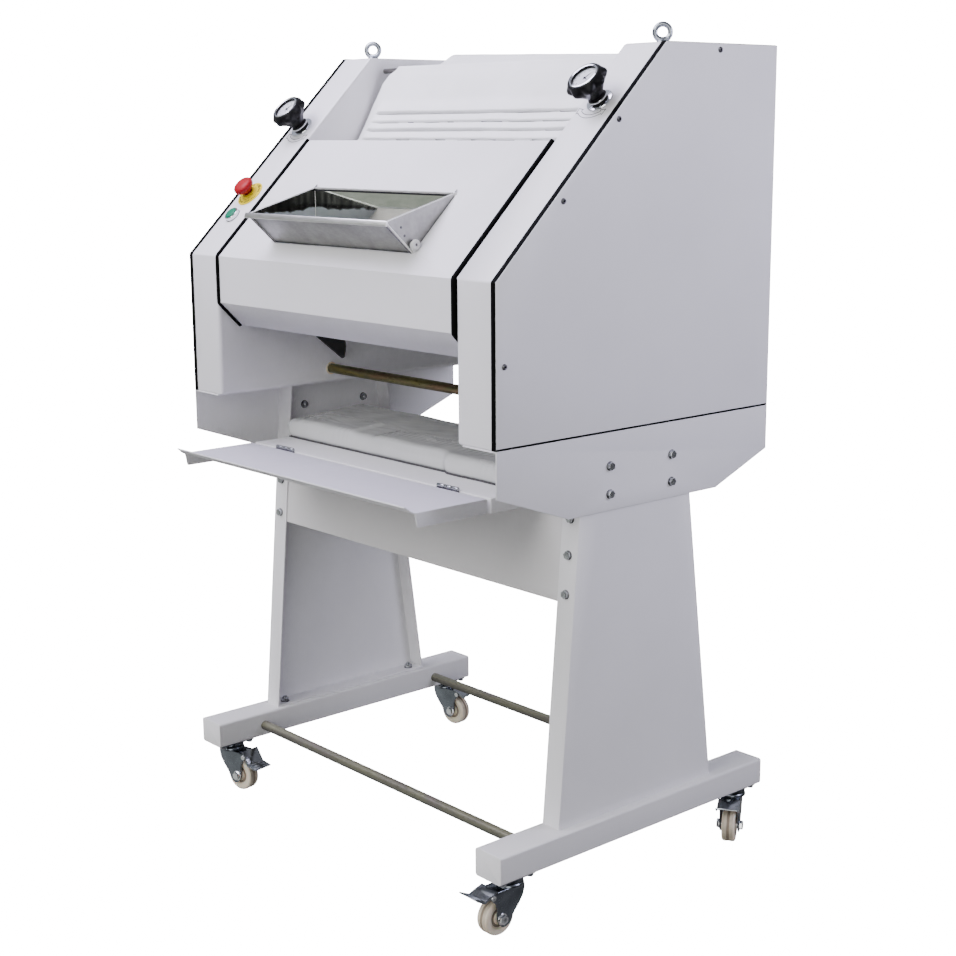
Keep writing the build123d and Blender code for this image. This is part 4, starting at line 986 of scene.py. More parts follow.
def apron():
    rise = [(297.0, 1272.0), (316.0, 1300.0), (336.0, 1327.0), (353.0, 1354.0), (366.0, 1377.0), (378.5, 1402.0), (389.0, 1427.4), (397.0, 1445.5)]
    over = [(ROD_TOP[0] + 7.6 * math.cos(math.radians(a)), ROD_TOP[1] + 7.6 * math.sin(math.radians(a))) for a in range(168, 80, -11)]
    back = [(430.0, 1464.8), (450.0, 1465.4), (472.0, 1466.4), (495.0, 1467.8), (518.0, 1468.4), (540.0, 1468.5), (562.0, 1468.5), (585.0, 1468.4), (612.0, 1468.4)]
    line = resample(rise + over + back, 0.6)
    for _ in range(8):
        line = [line[0]] + [(a + b * 2 + c) / 4 for a, b, c in zip(line, line[1:], line[2:])] + [line[-1]]
    ns = normals2(line)
    if ns[10].x > 0:
        ns = [-n for n in ns]
    top_i = max(range(len(line)), key=lambda i: -abs(line[i].y - ROD_TOP[1] - 7.6) - abs(line[i].x - ROD_TOP[0]))
    NC = 121
    rows, shade_slit = [], []
    for i, (p, n) in enumerate(zip(line, ns)):
        rear = i > top_i
        z = p.y
        # fine rows only where the pleats are
        if (rear or not 1300.0 < z < 1377.0) and i % 3 and i != len(line) - 1:
            continue
        if rear:
            half = 296.0
        else:
            half = 338.0 - 8.0 * smooth(1380, 1430, z) - 12.0 * smooth(1428, 1449, z) - 20.0 * smooth(1445, 1462, z)
        row, dark = [], []
        for j in range(NC):
            t = -1.0 + 2.0 * j / (NC - 1)
            x = half * t
            ax = abs(x)
            dark.append(False)
            d, dz = 0.0, 0.0
            if not rear:
                sag = 0.8 * noise.noise(Vector((x * 0.010, 2.0, 4.2)))
                step, k = pleat(z + sag)
                # flags the gap under each lap, to be painted dark as shade
                dark[-1] = step < -0.8 and ax < 312.0 + 3.0 * k and noise.noise(Vector((x * 0.02, k * 5.1, 6.6))) > -0.42
                d = step * (1.0 - smooth(310.0 + 3.0 * k, 317.0 + 3.0 * k, ax)) * (1.10 - 0.25 * smooth(-300.0, 250.0, x) + 0.30 * noise.noise(Vector((x * 0.011, k * 3.7, 4.2))))
                free = smooth(1376, 1400, z) * (1 - smooth(1440, 1456, z))
                d += free * (2.2 * noise.noise(Vector((x * 0.009 + z * 0.012, z * 0.010, 1.7))) + 1.2 * (0.5 - abs(noise.noise(Vector((x * 0.014 - z * 0.020, z * 0.006, 9.1))))))
                d += 0.4 * noise.noise(Vector((x * 0.03, z * 0.05, 2.2)))
            else:
                # a ridge runs from the left rear to the rod at the right, and the left corner lies flat
                q = max(0.0, min(1.0, (x + 252.0) / 542.0))
                yr, zr = 518.0 - 107.0 * q, 1488.0 - 20.0 * q
                if p.x < yr:
                    rise_k = math.sin(0.5 * math.pi * (p.x - 411.0) / (yr - 411.0)) ** 1.2 if p.x > 411.0 else 0.0
                else:
                    rise_k = 1.0 - smooth(yr, 602.0, p.x)
                dz = (zr - p.y) * rise_k * smooth(-186.0, -127.0, x + 1.196 * (p.x - 411.0))
                dz += 0.8 * smooth(411, 450, p.x) * (1 - smooth(560, 600, p.x)) * abs(noise.noise(Vector((x * 0.012, p.x * 0.02, 5.5))))
            row.append(P(x, p.x + n.x * d, p.y + n.y * d + dz))
        rows.append(row)
        shade_slit.append(dark)
    g = Geo()
    thick_sheet(g, rows, 1.3)
    # faces in the gaps take the near-black felt as painted shade
    for i in range(len(rows) - 1):
        for j in range(NC - 1):
            if shade_slit[i][j] and shade_slit[i + 1][j + 1]:
                g.m[2 * (i * (NC - 1) + j)] = g.m[2 * (i * (NC - 1) + j) + 1] = 1
    ob = g.make("felt_apron_cloth", [MAT["felt_white"], GAP_SHADE_FELT], "frame", ["felt_apron"], "felt_white", 70.0)


apron()


def belt():
    (y1, z1), (y0, z0) = DRUM_TOP, DRUM_BOT
    r = DRUM_R + 0.5 + BELT_T / 2
    d = Vector((y1 - y0, z1 - z0))
    a0 = math.atan2(d.y, d.x)
    line = []
    for k in range(41):
        a = a0 - math.pi / 2 + math.pi * k / 40
        line.append(Vector((y1 + r * math.cos(a), z1 + r * math.sin(a))))
    for k in range(1, 30):
        line.append(Vector((y1 + r * math.cos(a0 + math.pi / 2), z1 + r * math.sin(a0 + math.pi / 2))).lerp(Vector((y0 + r * math.cos(a0 + math.pi / 2), z0 + r * math.sin(a0 + math.pi / 2))), k / 30))
    for k in range(41):
        a = a0 + math.pi / 2 + math.pi * k / 40
        line.append(Vector((y0 + r * math.cos(a), z0 + r * math.sin(a))))
    for k in range(1, 30):
        line.append(Vector((y0 + r * math.cos(a0 - math.pi / 2), z0 + r * math.sin(a0 - math.pi / 2))).lerp(Vector((y1 + r * math.cos(a0 - math.pi / 2), z1 + r * math.sin(a0 - math.pi / 2))), k / 30))
    ns = normals2(line, True)
    h = (BELT_T - 0.5) / 2
    n = len(line)
    xs = [-X_BELT + 2 * X_BELT * j / 40 for j in range(41)]
    pts, faces = [], []
    for i, (p, q) in enumerate(zip(line, ns)):
        # closed section: outside from left to right, then inside back, with soft edges
        sec = [(xs[0] - 0.0, 0.0)] + [(x, h if 0 < j < 40 else h * 0.7) for j, x in enumerate(xs)] + [(xs[-1], 0.0)] + [(x, -h) for x in xs[::-1]]
        for x, o in sec:
            w = o + (0.25 * noise.noise(Vector((x * 0.02, i * 0.2, 0.3))) if o > 0 else 0.0)
            pts.append(P(x, p.x + q.x * w, p.y + q.y * w))
    m = len(pts) // n
    for i in range(n):
        k = (i + 1) % n
        for j in range(m):
            l = (j + 1) % m
            faces.append((i * m + j, i * m + l, k * m + l, k * m + j))
    g = Geo()
    g.add(pts, faces)
    ob = g.make("felt_belt_loop", [MAT["felt_white"]], "frame", ["felt_belt"], "felt_white", 60.0)


belt()


def pad():
    """Felt roll-out pad wrapped in film: soft front edge, folded-over seams, drawn creases."""
    NX, half = 190, 352.0
    rows, shade_strip = [], []
    rnd = random.Random(7)
    creases = [(rnd.uniform(-320, 320), rnd.uniform(170, 330), rnd.uniform(-0.25, 0.25), rnd.uniform(40, 130), rnd.uniform(-0.45, 0.45)) for _ in range(30)]
    for i in range(NX + 1):
        t = -1.0 + 2.0 * i / NX
        # points crowd towards the rounded ends
        x = half * math.copysign(1 - (1 - abs(t)) ** 1.25, t)
        e = max(0.0, (abs(x) - (half - 15.0)) / 15.0)
        k = math.sqrt(max(0.0, 1.0 - e * e)) if e > 0 else 1.0
        fwd = 7.0 * smooth(128.0, 150.0, x) + 1.6 * noise.noise(Vector((x * 0.02, 0.0, 3.0)))
        y0, y1 = 150.0 - fwd, 339.0 + 3.0 * noise.noise(Vector((x * 0.013, 4.0, 1.0)))
        # a thin dark grey strip under the front edge: a painted contact shadow
        if abs(x) < half - 5.0:
            shade_strip.append([P(x, y0 + a, b) for a, b in ((2.4, 748.05), (2.4, 750.6), (24.0, 750.6), (24.0, 748.05))])
        zt0 = 783.5 + 2.0 * noise.noise(Vector((x * 0.012, 1.0, 7.0)))
        zt1 = 796.0 + 2.5 * noise.noise(Vector((x * 0.010, 2.0, 7.0)))
        sec = rounded([(y0 + 30, 748.0), (y0, 748.0), (y0 - 1.0, zt0), (y1, zt1), (y1, 748.0), (y1 - 30, 748.0)], [13.0, 15.0, 14.0, 8.0], 8.0)
        sec = resample(sec + [sec[0]], 3.4)[:-1]
        M = 150
        full = resample(sec + [sec[0]], 1.0)
        sec = [full[int(len(full) * q / M) % len(full)] for q in range(M)]
        cy, cz = 0.5 * (y0 + y1), 748.0 + 22.0
        row = []
        for p in sec:
            y, z = p.x, p.y
            y = cy + (y - cy) * (0.90 + 0.10 * k) if e > 0 else y
            z = cz + (z - cz) * (0.12 + 0.88 * k) if e > 0 else z
            if z > 752.0:
                d = 0.7 * (0.45 - abs(noise.noise(Vector((x * 0.010 + y * 0.006, y * 0.030, 0.7))))) + 0.25 * noise.noise(Vector((x * 0.03 - y * 0.02, y * 0.06, z * 0.05)))
                for cx, cyy, slant, ln, amp in creases:
                    u = x - cx
                    if abs(u) < ln:
                        off = (y - cyy) - slant * u
                        d += amp * math.exp(-(off / 3.0) ** 2) * (1 - (u / ln) ** 2)
                # two folded-over film edges on the top
                if z > zt0 - 6:
                    if -330 < x < -130:
                        d += 2.8 * smooth(-330, -305, x) * (1 - smooth(-150, -130, x)) * smooth(2.0, -1.2, y - (231.0 + 0.02 * (x + 262)))
                    if x > -84:
                        d += 3.2 * smooth(-84, -60, x) * (1 - smooth(95, 150, x)) * smooth(2.0, -1.2, y - (213.0 + 0.058 * (x + 74)))
                        d -= 3.0 * smooth(-84, -60, x) * (1 - smooth(95, 150, x)) * math.exp(-((y - (216.5 + 0.058 * (x + 74))) / 2.2) ** 2)
                    # short puckers that run into the second fold
                    if -70 < x < 240:
                        d += 0.9 * math.sin(x * 0.42 + 0.03 * y) * math.exp(-((y - 196.0) / 16.0) ** 2) * (0.5 + 0.5 * noise.noise(Vector((x * 0.03, 2.0, 8.0))))
                # small puckers of the film on the front edge
                if y < y0 + 12.0:
                    d += 0.9 * math.sin(0.42 * x + 2.0 * noise.noise(Vector((x * 0.02, z * 0.03, 5.0)))) * max(0.0, noise.noise(Vector((x * 0.012, 6.0, z * 0.02)))) * smooth(758.0, 772.0, z)
                d *= smooth(752.0, 762.0, z)
                y += d * (0.9 if z < zt0 - 8 and y < y0 + 10 else 0.0) * -1.0
                z += d * (0.0 if z < zt0 - 8 else 1.0)
            row.append(P(x, y, max(748.05, z)))
        rows.append(row)
    m = len(rows[0])
    faces = []
    for i in range(NX):
        for j in range(m):
            k = (j + 1) % m
            faces.append((i * m + j, i * m + k, (i + 1) * m + k, (i + 1) * m + j))
    faces += [tuple(range(m)), tuple(NX * m + j for j in range(m))]
    g = Geo()
    g.add([p for r in rows for p in r], faces)
    # the dark strip below the pad's front is painted shade
    nb = len(shade_strip)
    edge = [(i * 4 + j, i * 4 + (j + 1) % 4, (i + 1) * 4 + (j + 1) % 4, (i + 1) * 4 + j) for i in range(nb - 1) for j in range(4)]
    base = Geo()
    base.add([p for r in shade_strip for p in r], edge + [(0, 1, 2, 3), tuple((nb - 1) * 4 + j for j in range(4))])
    base.make("landing_pad_shade_strip", [GREY_PRINT_AND_SHADE], "frame", (), "black_plastic")
    ob = g.make("landing_pad_wrapped", [MAT["film_wrap"]], "frame", ["landing_pad"], "film_wrap", 60.0)


pad()


# -------------------------------------------------------------------- hopper
def hopper():
    """Stainless chute; index 0 is the polished inside, 1 the dull cheeks, 3 dark, 4 the front plate with painted
    shade, 5 the hem with painted highlight, 6 the cheeks inside with painted shade and a painted reflection, 7 the
    rear plate with a painted reflection, 8 a black strip of painted shade, 9 the seams with painted highlight.
    """
    g = Geo()
    fb, lp = Vector(HOP_FB), Vector(HOP_LIP)
    d = (lp - fb).normalized()
    nin = Vector((d.y, -d.x))  # towards the inside of the chute
    if nin.y < 0:
        nin = -nin
    # front plate, its outer faces in a darker copy of the steel as painted shade
    bm = prism_bm([fb, lp + d * 1.0, lp + d * 1.0 + nin * 2.0, fb + nin * 2.0], -X_HOP + 0.2, X_HOP - 0.2, 0.3, 1)
    bm.normal_update()
    inner = [(f.normal.x * nin.x + f.normal.y * nin.y) > 0.7 for f in bm.faces]
    g.solid(bm, [0 if q else 4 for q in inner], None, yz)
    # rolled hem along the front edge, in a brighter copy of the steel as painted highlight
    c = lp + Vector((-2.6, -0.6))
    ax = Vector((0.30, 0.954))
    sec = []
    for k in range(24):
        a = 2 * math.pi * k / 24
        u, v = math.cos(a), math.sin(a)
        s = Vector((ax.y, -ax.x)) * (2.3 * u) + ax * (2.4 * v + (2.6 if v > 0 else -2.6))
        sec.append(c + s)
    g.solid(prism_bm(sec, -X_HOP - 5, X_HOP + 5, 0.5, 2, 60.0), 5, None, yz)
    # rear plate with a narrow folded top; its front face is tinted green as a painted reflection, the fold is bright
    # as painted highlight
    bm = prism_bm([(125.0, 1138.0), (127.0, 1138.0), (127.0, 1239.0), (125.0, 1239.0)], -X_HOP + 0.2, X_HOP - 0.2, 0.3, 1)
    bm.normal_update()
    g.solid(bm, [7 if f.normal.x < -0.7 else 1 for f in bm.faces], None, yz)
    g.solid(prism_bm(rounded([(124.2, 1236.6), (124.2, 1240.4), (128.0, 1240.4), (128.0, 1236.6)], 1.4), -X_HOP - 1.5, X_HOP + 1.5, 0.3, 1, 60.0), 5, None, yz)
    # a black strip under the rear fold as painted shade
    g.solid(prism_bm([(124.4, 1233.4), (124.4, 1236.8), (126.0, 1236.8), (126.0, 1233.4)], -X_HOP + 1.0, X_HOP - 1.0, 0.2, 1), 8, None, yz)
    # cheeks, their inside faces painted dark as shade with a painted pale bluish reflection low down
    poly = [HOP_FB, HOP_LIP, (HOP_LIP[0] + 2, HOP_LIP[1] + 3), (HOP_RT[0] - 4.0, HOP_RT[1] - 0.6), (HOP_RT[0] + 3.6, HOP_RT[1] + 6.0), (HOP_RT[0] + 4.4, HOP_RT[1] + 4.6), HOP_RT, (HOP_RT[0], 1150.0), (60.0, 1139.0)]
    for sx in (-1, 1):
        xa, xb = sorted((sx * X_HOP, sx * (X_HOP - 2)))
        bm = prism_bm(poly, xa, xb, 0.3, 1)
        bm.normal_update()
        g.solid(bm, [6 if f.normal.z * sx < -0.7 else 1 for f in bm.faces], None, yz)
        # thin fold along the top of the cheek, in a bright copy of the steel as painted highlight
        a, b = Vector((HOP_LIP[0] + 2.0, HOP_LIP[1] + 2.6)), Vector((HOP_RT[0] - 4.0, HOP_RT[1] - 1.0))
        g.tube([P(sx * (X_HOP - 1.0), *(a.lerp(b, q / 6.0))) for q in range(7)], 1.3, 10, 9)
        # folded corner seams, front and rear, bright as painted highlight
        for (y, z), (yy, zz) in ((HOP_FB, HOP_LIP), ((125.6, 1150.0), (125.6, 1238.0))):
            a, b = Vector((y, z)), Vector((yy, zz))
            line = [P(sx * (X_HOP - 0.6), *(a.lerp(b, q / 6.0))) for q in range(7)]
            g.tube(line, 1.9, 10, 9)
        # folded edge of the front plate beside the cheek, in dark steel as painted shade of the gap there
        a, b = Vector((HOP_FB[0] - 1.6, HOP_FB[1] - 1.4)), Vector((HOP_LIP[0] + 2.0, HOP_LIP[1] - 5.0))
        g.tube([P(sx * (X_HOP - 3.4), *(a.lerp(b, q / 6.0))) for q in range(7)], 0.9, 8, 3)
        for y, z in ((9.0, 1187.0), (16.0, 1173.0)):
            g.lathe(frame_at(P(sx * X_HOP, y, z), (sx, 0, 0), (0, 1, 0)), [(0, 0.7), (1.4, 0.6), (2.2, 0.25), (2.5, -0.3)], 16, 3)
    g.make("hopper_chute", [HOP_IN, HOP_OUT, BRIGHT, DARKM, HOP_FRONT_SHADE, HEM_HIGHLIGHT, HOP_CHEEK_SHADE, HOP_REAR_REFLECTION, BLACK_PRINT_AND_SHADE, SEAM_HIGHLIGHT], "hopper", ["hopper"], "stainless", 40.0)
    g = Geo()
    for sx in (-1, 1):
        M = frame_at(P(sx * (X_HOP + 5.5), *HOP_PIV), (sx, 0, 0), (0, 1, 0))
        ribs = lambda r, h, a: r + (0.28 * math.cos(24 * a) if r > 8 else 0.0)
        g.lathe(M, [(0, 4.4), (1.6, 4.4), (2.6, 4.6), (2.9, 6.0), (6.8, 6.0), (8.2, 5.4), (8.7, 4.2), (8.7, 1.2), (8.2, 0.4), (4.2, 0.2), (4.0, -10.0), (0, -10.0)], 72, 0, [1, 1, 0, 0, 0, 0, 0, 0, 0, 0, 0], False, ribs)
    g.make("hopper_pivot_knobs", [MAT["nylon_white"], DARKM], NODE_BODY["hopper_knobs"], ["hopper_knobs"], "nylon_white")


hopper()


# ------------------------------------------------------------------- controls
def handwheel(side):
    x, z, node = (-X_CTRL, Z_HW_L, "handwheel_left") if side == "left" else (X_HW_R, Z_HW_R, "handwheel_right")
    M = slope_frame(x, z)
    g = Geo()
    # a cone that flares from the dial down to a lobed skirt, then the stem
    prof = [(0, 50.0, 0), (23.3, 50.0, 0), (23.5, 54.4, 0), (26.4, 54.7, 0), (27.4, 55.9, 0), (28.6, 56.2, 0), (29.8, 55.2, 0), (30.8, 53.2, 0.08), (31.9, 51.2, 0.25), (33.0, 49.0, 0.55), (33.9, 46.8, 0.85),
            (34.4, 44.4, 1.0), (34.2, 42.0, 1.0), (33.2, 40.0, 0.95), (31.8, 38.0, 0.8), (29.8, 35.8, 0.6), (27.6, 33.2, 0.4), (25.0, 30.2, 0.25), (22.2, 26.8, 0.12), (19.4, 23.0, 0.05),
            (16.8, 19.4, 0), (14.8, 16.4, 0), (13.5, 14.4, 0), (13.3, 13.2, 0), (12.5, 12.5, 0), (5.9, 12.4, 0), (5.9, -40.0, 0), (0, -40.0, 0)]
    lobe = {(r, h): l for r, h, l in prof}

    def warp(r, h, a):
        c = 0.5 + 0.5 * math.cos(8 * a)
        return r + lobe[(r, h)] * (5.4 * c ** 0.75 - 2.6)

    g.lathe(M, [(r, h) for r, h, l in prof], 160, 0, None, False, warp)
    # bright rim, with its inner wall down to the dial painted black as shade
    g.lathe(M, [(23.0, 50.3), (23.0, 55.4), (23.5, 56.6), (24.5, 57.0), (25.7, 56.7), (26.4, 55.8), (26.4, 54.6)], 72, 1, [3, 1, 1, 1, 1, 1, 1], True)
    g.lathe(M, [(0, 51.0), (12, 50.9), (23.05, 50.7)], 72, 2)
    for k in range(50):
        a = 2 * math.pi * k / 50
        r0 = 19.0 if k % 5 == 0 else 20.4
        Mt = M @ Matrix.Translation((0, 0, 50.7 * MM)) @ Matrix.Rotation(a, 4, "Z")
        g.solid(box_bm(r0, 22.2, -0.24 if k % 5 else -0.38, 0.24 if k % 5 else 0.38, 0.0, 0.30), 3, Mt)
    for k in range(10):
        a = math.pi / 2 - 2 * math.pi * k / 10
        Mt = M @ Matrix.Translation((16.2 * math.cos(a) * MM, 16.2 * math.sin(a) * MM, 51.0 * MM)) @ Matrix.Rotation(a - math.pi / 2, 4, "Z")
        g.solid(text_bm(str(k), 4.6), 3, Mt)
    for a, ln, w in ((math.radians(62), 14.5, 1.1), (math.radians(-28), 9.5, 1.4)):
        Mt = M @ Matrix.Translation((0, 0, 51.2 * MM)) @ Matrix.Rotation(a, 4, "Z")
        g.solid(prism_bm([(-4.0, -w * 0.6), (ln * 0.7, -w * 0.5), (ln, 0.0), (ln * 0.7, w * 0.5), (-4.0, w * 0.6)], 0.0, 0.35), 3, Mt)
    g.lathe(M, [(2.2, 50.9), (2.2, 51.7), (1.7, 52.1), (0, 52.2)], 24, 3)
    g.make(node + "_grip", [MAT["black_plastic"], CHROME, DIAL, BLACK_PRINT_AND_SHADE], node, [node], "black_plastic", 30.0)


handwheel("left")
handwheel("right")


def collars():
    g = Geo()
    for sx, x, z in ((-1, -X_CTRL, Z_HW_L), (1, X_HW_R, Z_HW_R)):
        M = slope_frame(x, z)
        prof = [(6.3, 0), (23.8, 0), (24.0, 0.4), (24.0, 2.2), (23.4, 3.1), (19.4, 3.5), (17.4, 3.7), (16.0, 3.8), (15.8, 7.2), (16.6, 7.4), (17.2, 8.0), (17.2, 9.6), (16.5, 10.4), (13.6, 10.7), (13.2, 11.9), (6.3, 11.9)]
        # the neck groove and the top face under the hub are painted black as shade
        g.lathe(M, prof, 72, 0, [0, 0, 0, 0, 0, 0, 0, 1, 0, 0, 0, 0, 1, 1, 1, 0], True)
        # outline of a two-way turning arrow on the sheet below the wheel
        c, r0, r1, rb0, rb1, rm = Vector((-4.0 if sx > 0 else 4.0, 2.0)), 33.0, 40.0, 29.5, 43.5, 36.5
        pt = lambda r, deg: c + Vector((r * math.cos(math.radians(deg)), r * math.sin(math.radians(deg))))
        loop = [pt(r1, a) for a in range(226, 311, 7)] + [pt(rb1, 312), pt(rm, 326), pt(rb0, 312)]
        loop += [pt(r0, a) for a in range(310, 225, -7)] + [pt(rb0, 224), pt(rm, 210), pt(rb1, 224)]
        g.strip(M, loop, 1.2, 0.18, 2)
    g.make("handwheel_collar_pair", [CHROME, BLACK_PRINT_AND_SHADE, GREY_PRINT_AND_SHADE], "frame", ["handwheel_collars"], NODE_SLOT["handwheel_collars"])


collars()


def switches():
    Me, Ms = slope_frame(-X_CTRL, Z_ESTOP), slope_frame(-X_CTRL, Z_START)
    g = Geo()
    g.lathe(Me, [(9.0, 0), (28.6, 0), (29.0, 0.4), (28.8, 1.2), (28.0, 1.6), (19.6, 2.0), (18.6, 2.8), (15.2, 3.0), (14.2, 3.6), (14.0, 5.8), (13.4, 6.4), (9.0, 6.5)], 96, 0, None, True)
    rnd = random.Random(11)
    for k in range(44):
        Mt = Me @ Matrix.Rotation(2 * math.pi * k / 44, 4, "Z")
        if k % 11 in (0, 1):
            continue
        r0, r1, w = rnd.uniform(20.4, 22.4), rnd.uniform(24.4, 27.2), rnd.uniform(0.5, 1.15)
        g.solid(box_bm(r0, r1, -w, w, 1.5, 2.02), 2, Mt)
    # start-button bezel: its inner wall and the step at its foot are painted black as shade
    g.lathe(Ms, [(12.3, 2.4), (12.3, 7.4), (12.9, 8.1), (14.0, 8.0), (14.8, 7.2), (14.9, 1.4), (16.0, 0.8), (16.0, 0), (9.2, 0), (9.2, 2.4)], 64, 1, [2, 1, 1, 1, 1, 2, 1, 1, 1, 1], True)
    g.make("switch_collar_rings", [MAT["yellow_plastic"], CHROME, BLACK_PRINT_AND_SHADE], "frame", ["switch_collars"], NODE_SLOT["switch_collars"])
    g = Geo()
    cap = [(0, 31.0), (7, 30.8), (13.0, 30.0), (17.0, 28.7), (19.3, 26.8), (20.4, 24.4), (20.5, 21.8), (20.0, 19.2), (18.8, 17.0), (17.0, 15.3), (15.4, 14.2), (14.5, 13.2), (13.4, 12.1), (8.2, 11.8), (8.0, -9.8), (0, -9.8)]
    g.lathe(Me, cap, 72, 0)
    g.make("estop_mushroom", [MAT["red_plastic"]], "estop_button", ["estop_button"], "red_plastic", 40.0)
    g = Geo()
    g.lathe(Ms, [(0, 10.5), (7.5, 10.4), (10.2, 10.0), (11.4, 9.3), (11.9, 8.3), (12.0, 7.0), (9.0, 6.8), (8.9, -9.8), (0, -9.8)], 64, 0)
    g.make("start_button_cap", [MAT["green_plastic"]], "start_button", ["start_button"], "green_plastic", 40.0)


switches()


# ------------------------------------------------------------------ fasteners
def fasteners():
    g = Geo()
    for sx in (-1, 1):
        for y, z in PANEL_SCREWS:
            M = frame_at(P(sx * W_HALF, y, z), (sx, 0, 0), (0, 1, 0))
            # the socket recess is painted black as shade
            g.lathe(M, [(0, 1.3), (1.9, 1.5), (2.1, 3.0), (2.7, 3.2), (3.9, 2.7), (4.7, 1.6), (5.0, 0.3), (5.0, 0.0), (2.4, -0.1), (2.4, -15.8), (0, -15.8)], 28, 0, [1, 1, 0, 0, 0, 0, 0, 0, 0, 0])
    g.make("panel_screw_set", [DARKM, BLACK_PRINT_AND_SHADE], "frame", ["panel_screws"], NODE_SLOT["panel_screws"])

    g = Geo()

    def bolt(M, r, t, hx, hh, shank, length, nut=None):
        g.washer(M, shank + 0.2, r, 0.0, t, 1)
        g.hexhead(M, hx, t, t + hh, 0)
        g.lathe(M, [(shank, t), (shank, -length + 0.8), (shank - 0.7, -length), (0, -length)], 18, 0)
        if nut:
            Mn = M @ Matrix.Translation((0, 0, nut[0] * MM)) @ Matrix.Rotation(math.pi, 4, "X")
            g.washer(Mn, shank + 0.2, r, 0.0, 1.2, 1)
            g.hexhead(Mn, hx, 1.2, 6.4, 0)

    for sx in (-1, 1):
        for k, (y, z) in enumerate(BASE_BOLTS):
            M = frame_at(P(sx * W_HALF, y, z), (sx, 0, 0), (0, 1, 0)) @ Matrix.Rotation(0.4 + 0.9 * k, 4, "Z")
            bolt(M, 8.2, 1.4, 7.4, 5.2, 4.0, 15.0, (-6.0,))
        for k, z in enumerate(FLANGE_F):
            nf = Vector((0, -(LEG_Z1 - LEG_Z0), LEG_FT - LEG_FB))
            M = frame_at(P(sx * X_FB, leg_front(z), z), nf, (1, 0, 0)) @ Matrix.Rotation(0.2 + 0.7 * k, 4, "Z")
            bolt(M, 8.2, 1.4, 7.4, 5.2, 4.0, 15.0, (-6.1,))
        for k, z in enumerate(FLANGE_R):
            nr = Vector((0, LEG_Z1 - LEG_Z0, LEG_RB - LEG_RT))
            M = frame_at(P(sx * X_FB, leg_rear(z), z), nr, (1, 0, 0)) @ Matrix.Rotation(0.5 + 0.7 * k, 4, "Z")
            bolt(M, 8.2, 1.4, 7.4, 5.2, 4.0, 15.0, (-6.2,))
        for k, y in enumerate(FOOT_BOLTS):
            M = frame_at(P(sx * 412, y, FOOT_Z1 + 4), (0, 0, 1), (1, 0, 0)) @ Matrix.Rotation(0.3 + 0.5 * k, 4, "Z")
            bolt(M, 9.0, 1.6, 8.2, 6.4, 5.0, 22.0)
            g.lathe(M, [(0, 11.6), (3.4, 11.6), (4.4, 10.6), (4.4, 7.6)], 20, 0)
    g.make("stand_bolt_set", [BRIGHT, DARKM], "frame", ["stand_bolts"], NODE_SLOT["stand_bolts"], 30.0)

    g = Geo()
    for sx in (-1, 1):
        base = frame_at(P(sx * 394, EYE_Y, Z_TOP), (0, 0, 1), (1, 0, 0)) @ Matrix.Rotation(math.radians(45), 4, "Z")
        ring = [base @ Vector((12.95 * math.sin(q) * MM, 0, (17.5 - 12.95 * math.cos(q)) * MM)) for q in (2 * math.pi * k / 56 for k in range(56))]
        # the ring swells towards its shank
        rad = [4.5 + 0.9 * max(0.0, math.cos(2 * math.pi * k / 56)) ** 4 for k in range(56)]
        g.tube(ring, rad, 18, 0, True)
        g.lathe(base, [(0, 6.2), (5.4, 6.2), (6.0, 5.4), (7.4, 4.2), (9.6, 3.4), (10.0, 2.8), (10.0, 0.6), (9.6, 0.0), (4.0, 0.0), (4.0, -8.0), (0, -8.0)], 40, 0)
    g.make("lifting_eyes", [MAT["zinc_steel"]], "frame", ["eyebolts"], NODE_SLOT["eyebolts"], 50.0)

    # cover screws at the back, their socket recesses painted black as shade, and the cable gland
    g = Geo()
    for x in (-322.0, -110.0, 110.0, 322.0):
        for z in (888.0, 1448.0):
            M = frame_at(P(x, 653.0, z), (0, 1, 0), (1, 0, 0))
            g.lathe(M, [(0, 1.2), (1.9, 1.4), (2.1, 2.8), (2.7, 3.0), (3.9, 2.5), (4.7, 1.5), (5.0, 0.2), (5.0, -0.4)], 26, 0, [1, 1, 0, 0, 0, 0, 0])
    for sx in (-1, 1):
        for z in (1040.0, 1180.0, 1320.0):
            M = frame_at(P(sx * 322.0, 653.0, z), (0, 1, 0), (1, 0, 0))
            g.lathe(M, [(0, 1.2), (1.9, 1.4), (2.1, 2.8), (2.7, 3.0), (3.9, 2.5), (4.7, 1.5), (5.0, 0.2), (5.0, -0.4)], 26, 0, [1, 1, 0, 0, 0, 0, 0])
    g.make("rear_cover_screws", [MAT["zinc_steel"], BLACK_PRINT_AND_SHADE], "frame", (), "zinc_steel")
    g = Geo()
    M = frame_at(P(400, Y_BACK, 900), (0, 1, 0), (1, 0, 0))
    g.hexhead(M @ Matrix.Translation((0, 0, -2.5 * MM)) @ Matrix.Rotation(math.pi, 4, "X"), 14.0, 0.0, 5.0, 0)
    g.hexhead(M, 14.0, 0.0, 3.6, 0)
    g.lathe(M, [(4.6, -7.4), (4.6, 5.6), (5.4, 6.0), (8.6, 5.6), (9.6, 4.6), (10.2, 3.2), (10.0, -7.4)], 36, 0, None, True)
    g.make("cable_gland_body", [MAT[NODE_SLOT["cable_gland"]]], "frame", ["cable_gland"], NODE_SLOT["cable_gland"])
    g = Geo()
    for sx in (-1, 1):
        g.lathe(frame_at(P(sx * 326, 208.0, 1296.0), (sx, 0, 0), (0, 1, 0)), [(0, 0), (4.4, 0), (5.0, 0.6), (5.0, 29.4), (4.4, 30.0), (0, 30.0)], 28, 0)
    g.make("hood_pins", [BRIGHT], NODE_BODY["hood_hinge_pins"], ["hood_hinge_pins"], NODE_SLOT["hood_hinge_pins"])


fasteners()


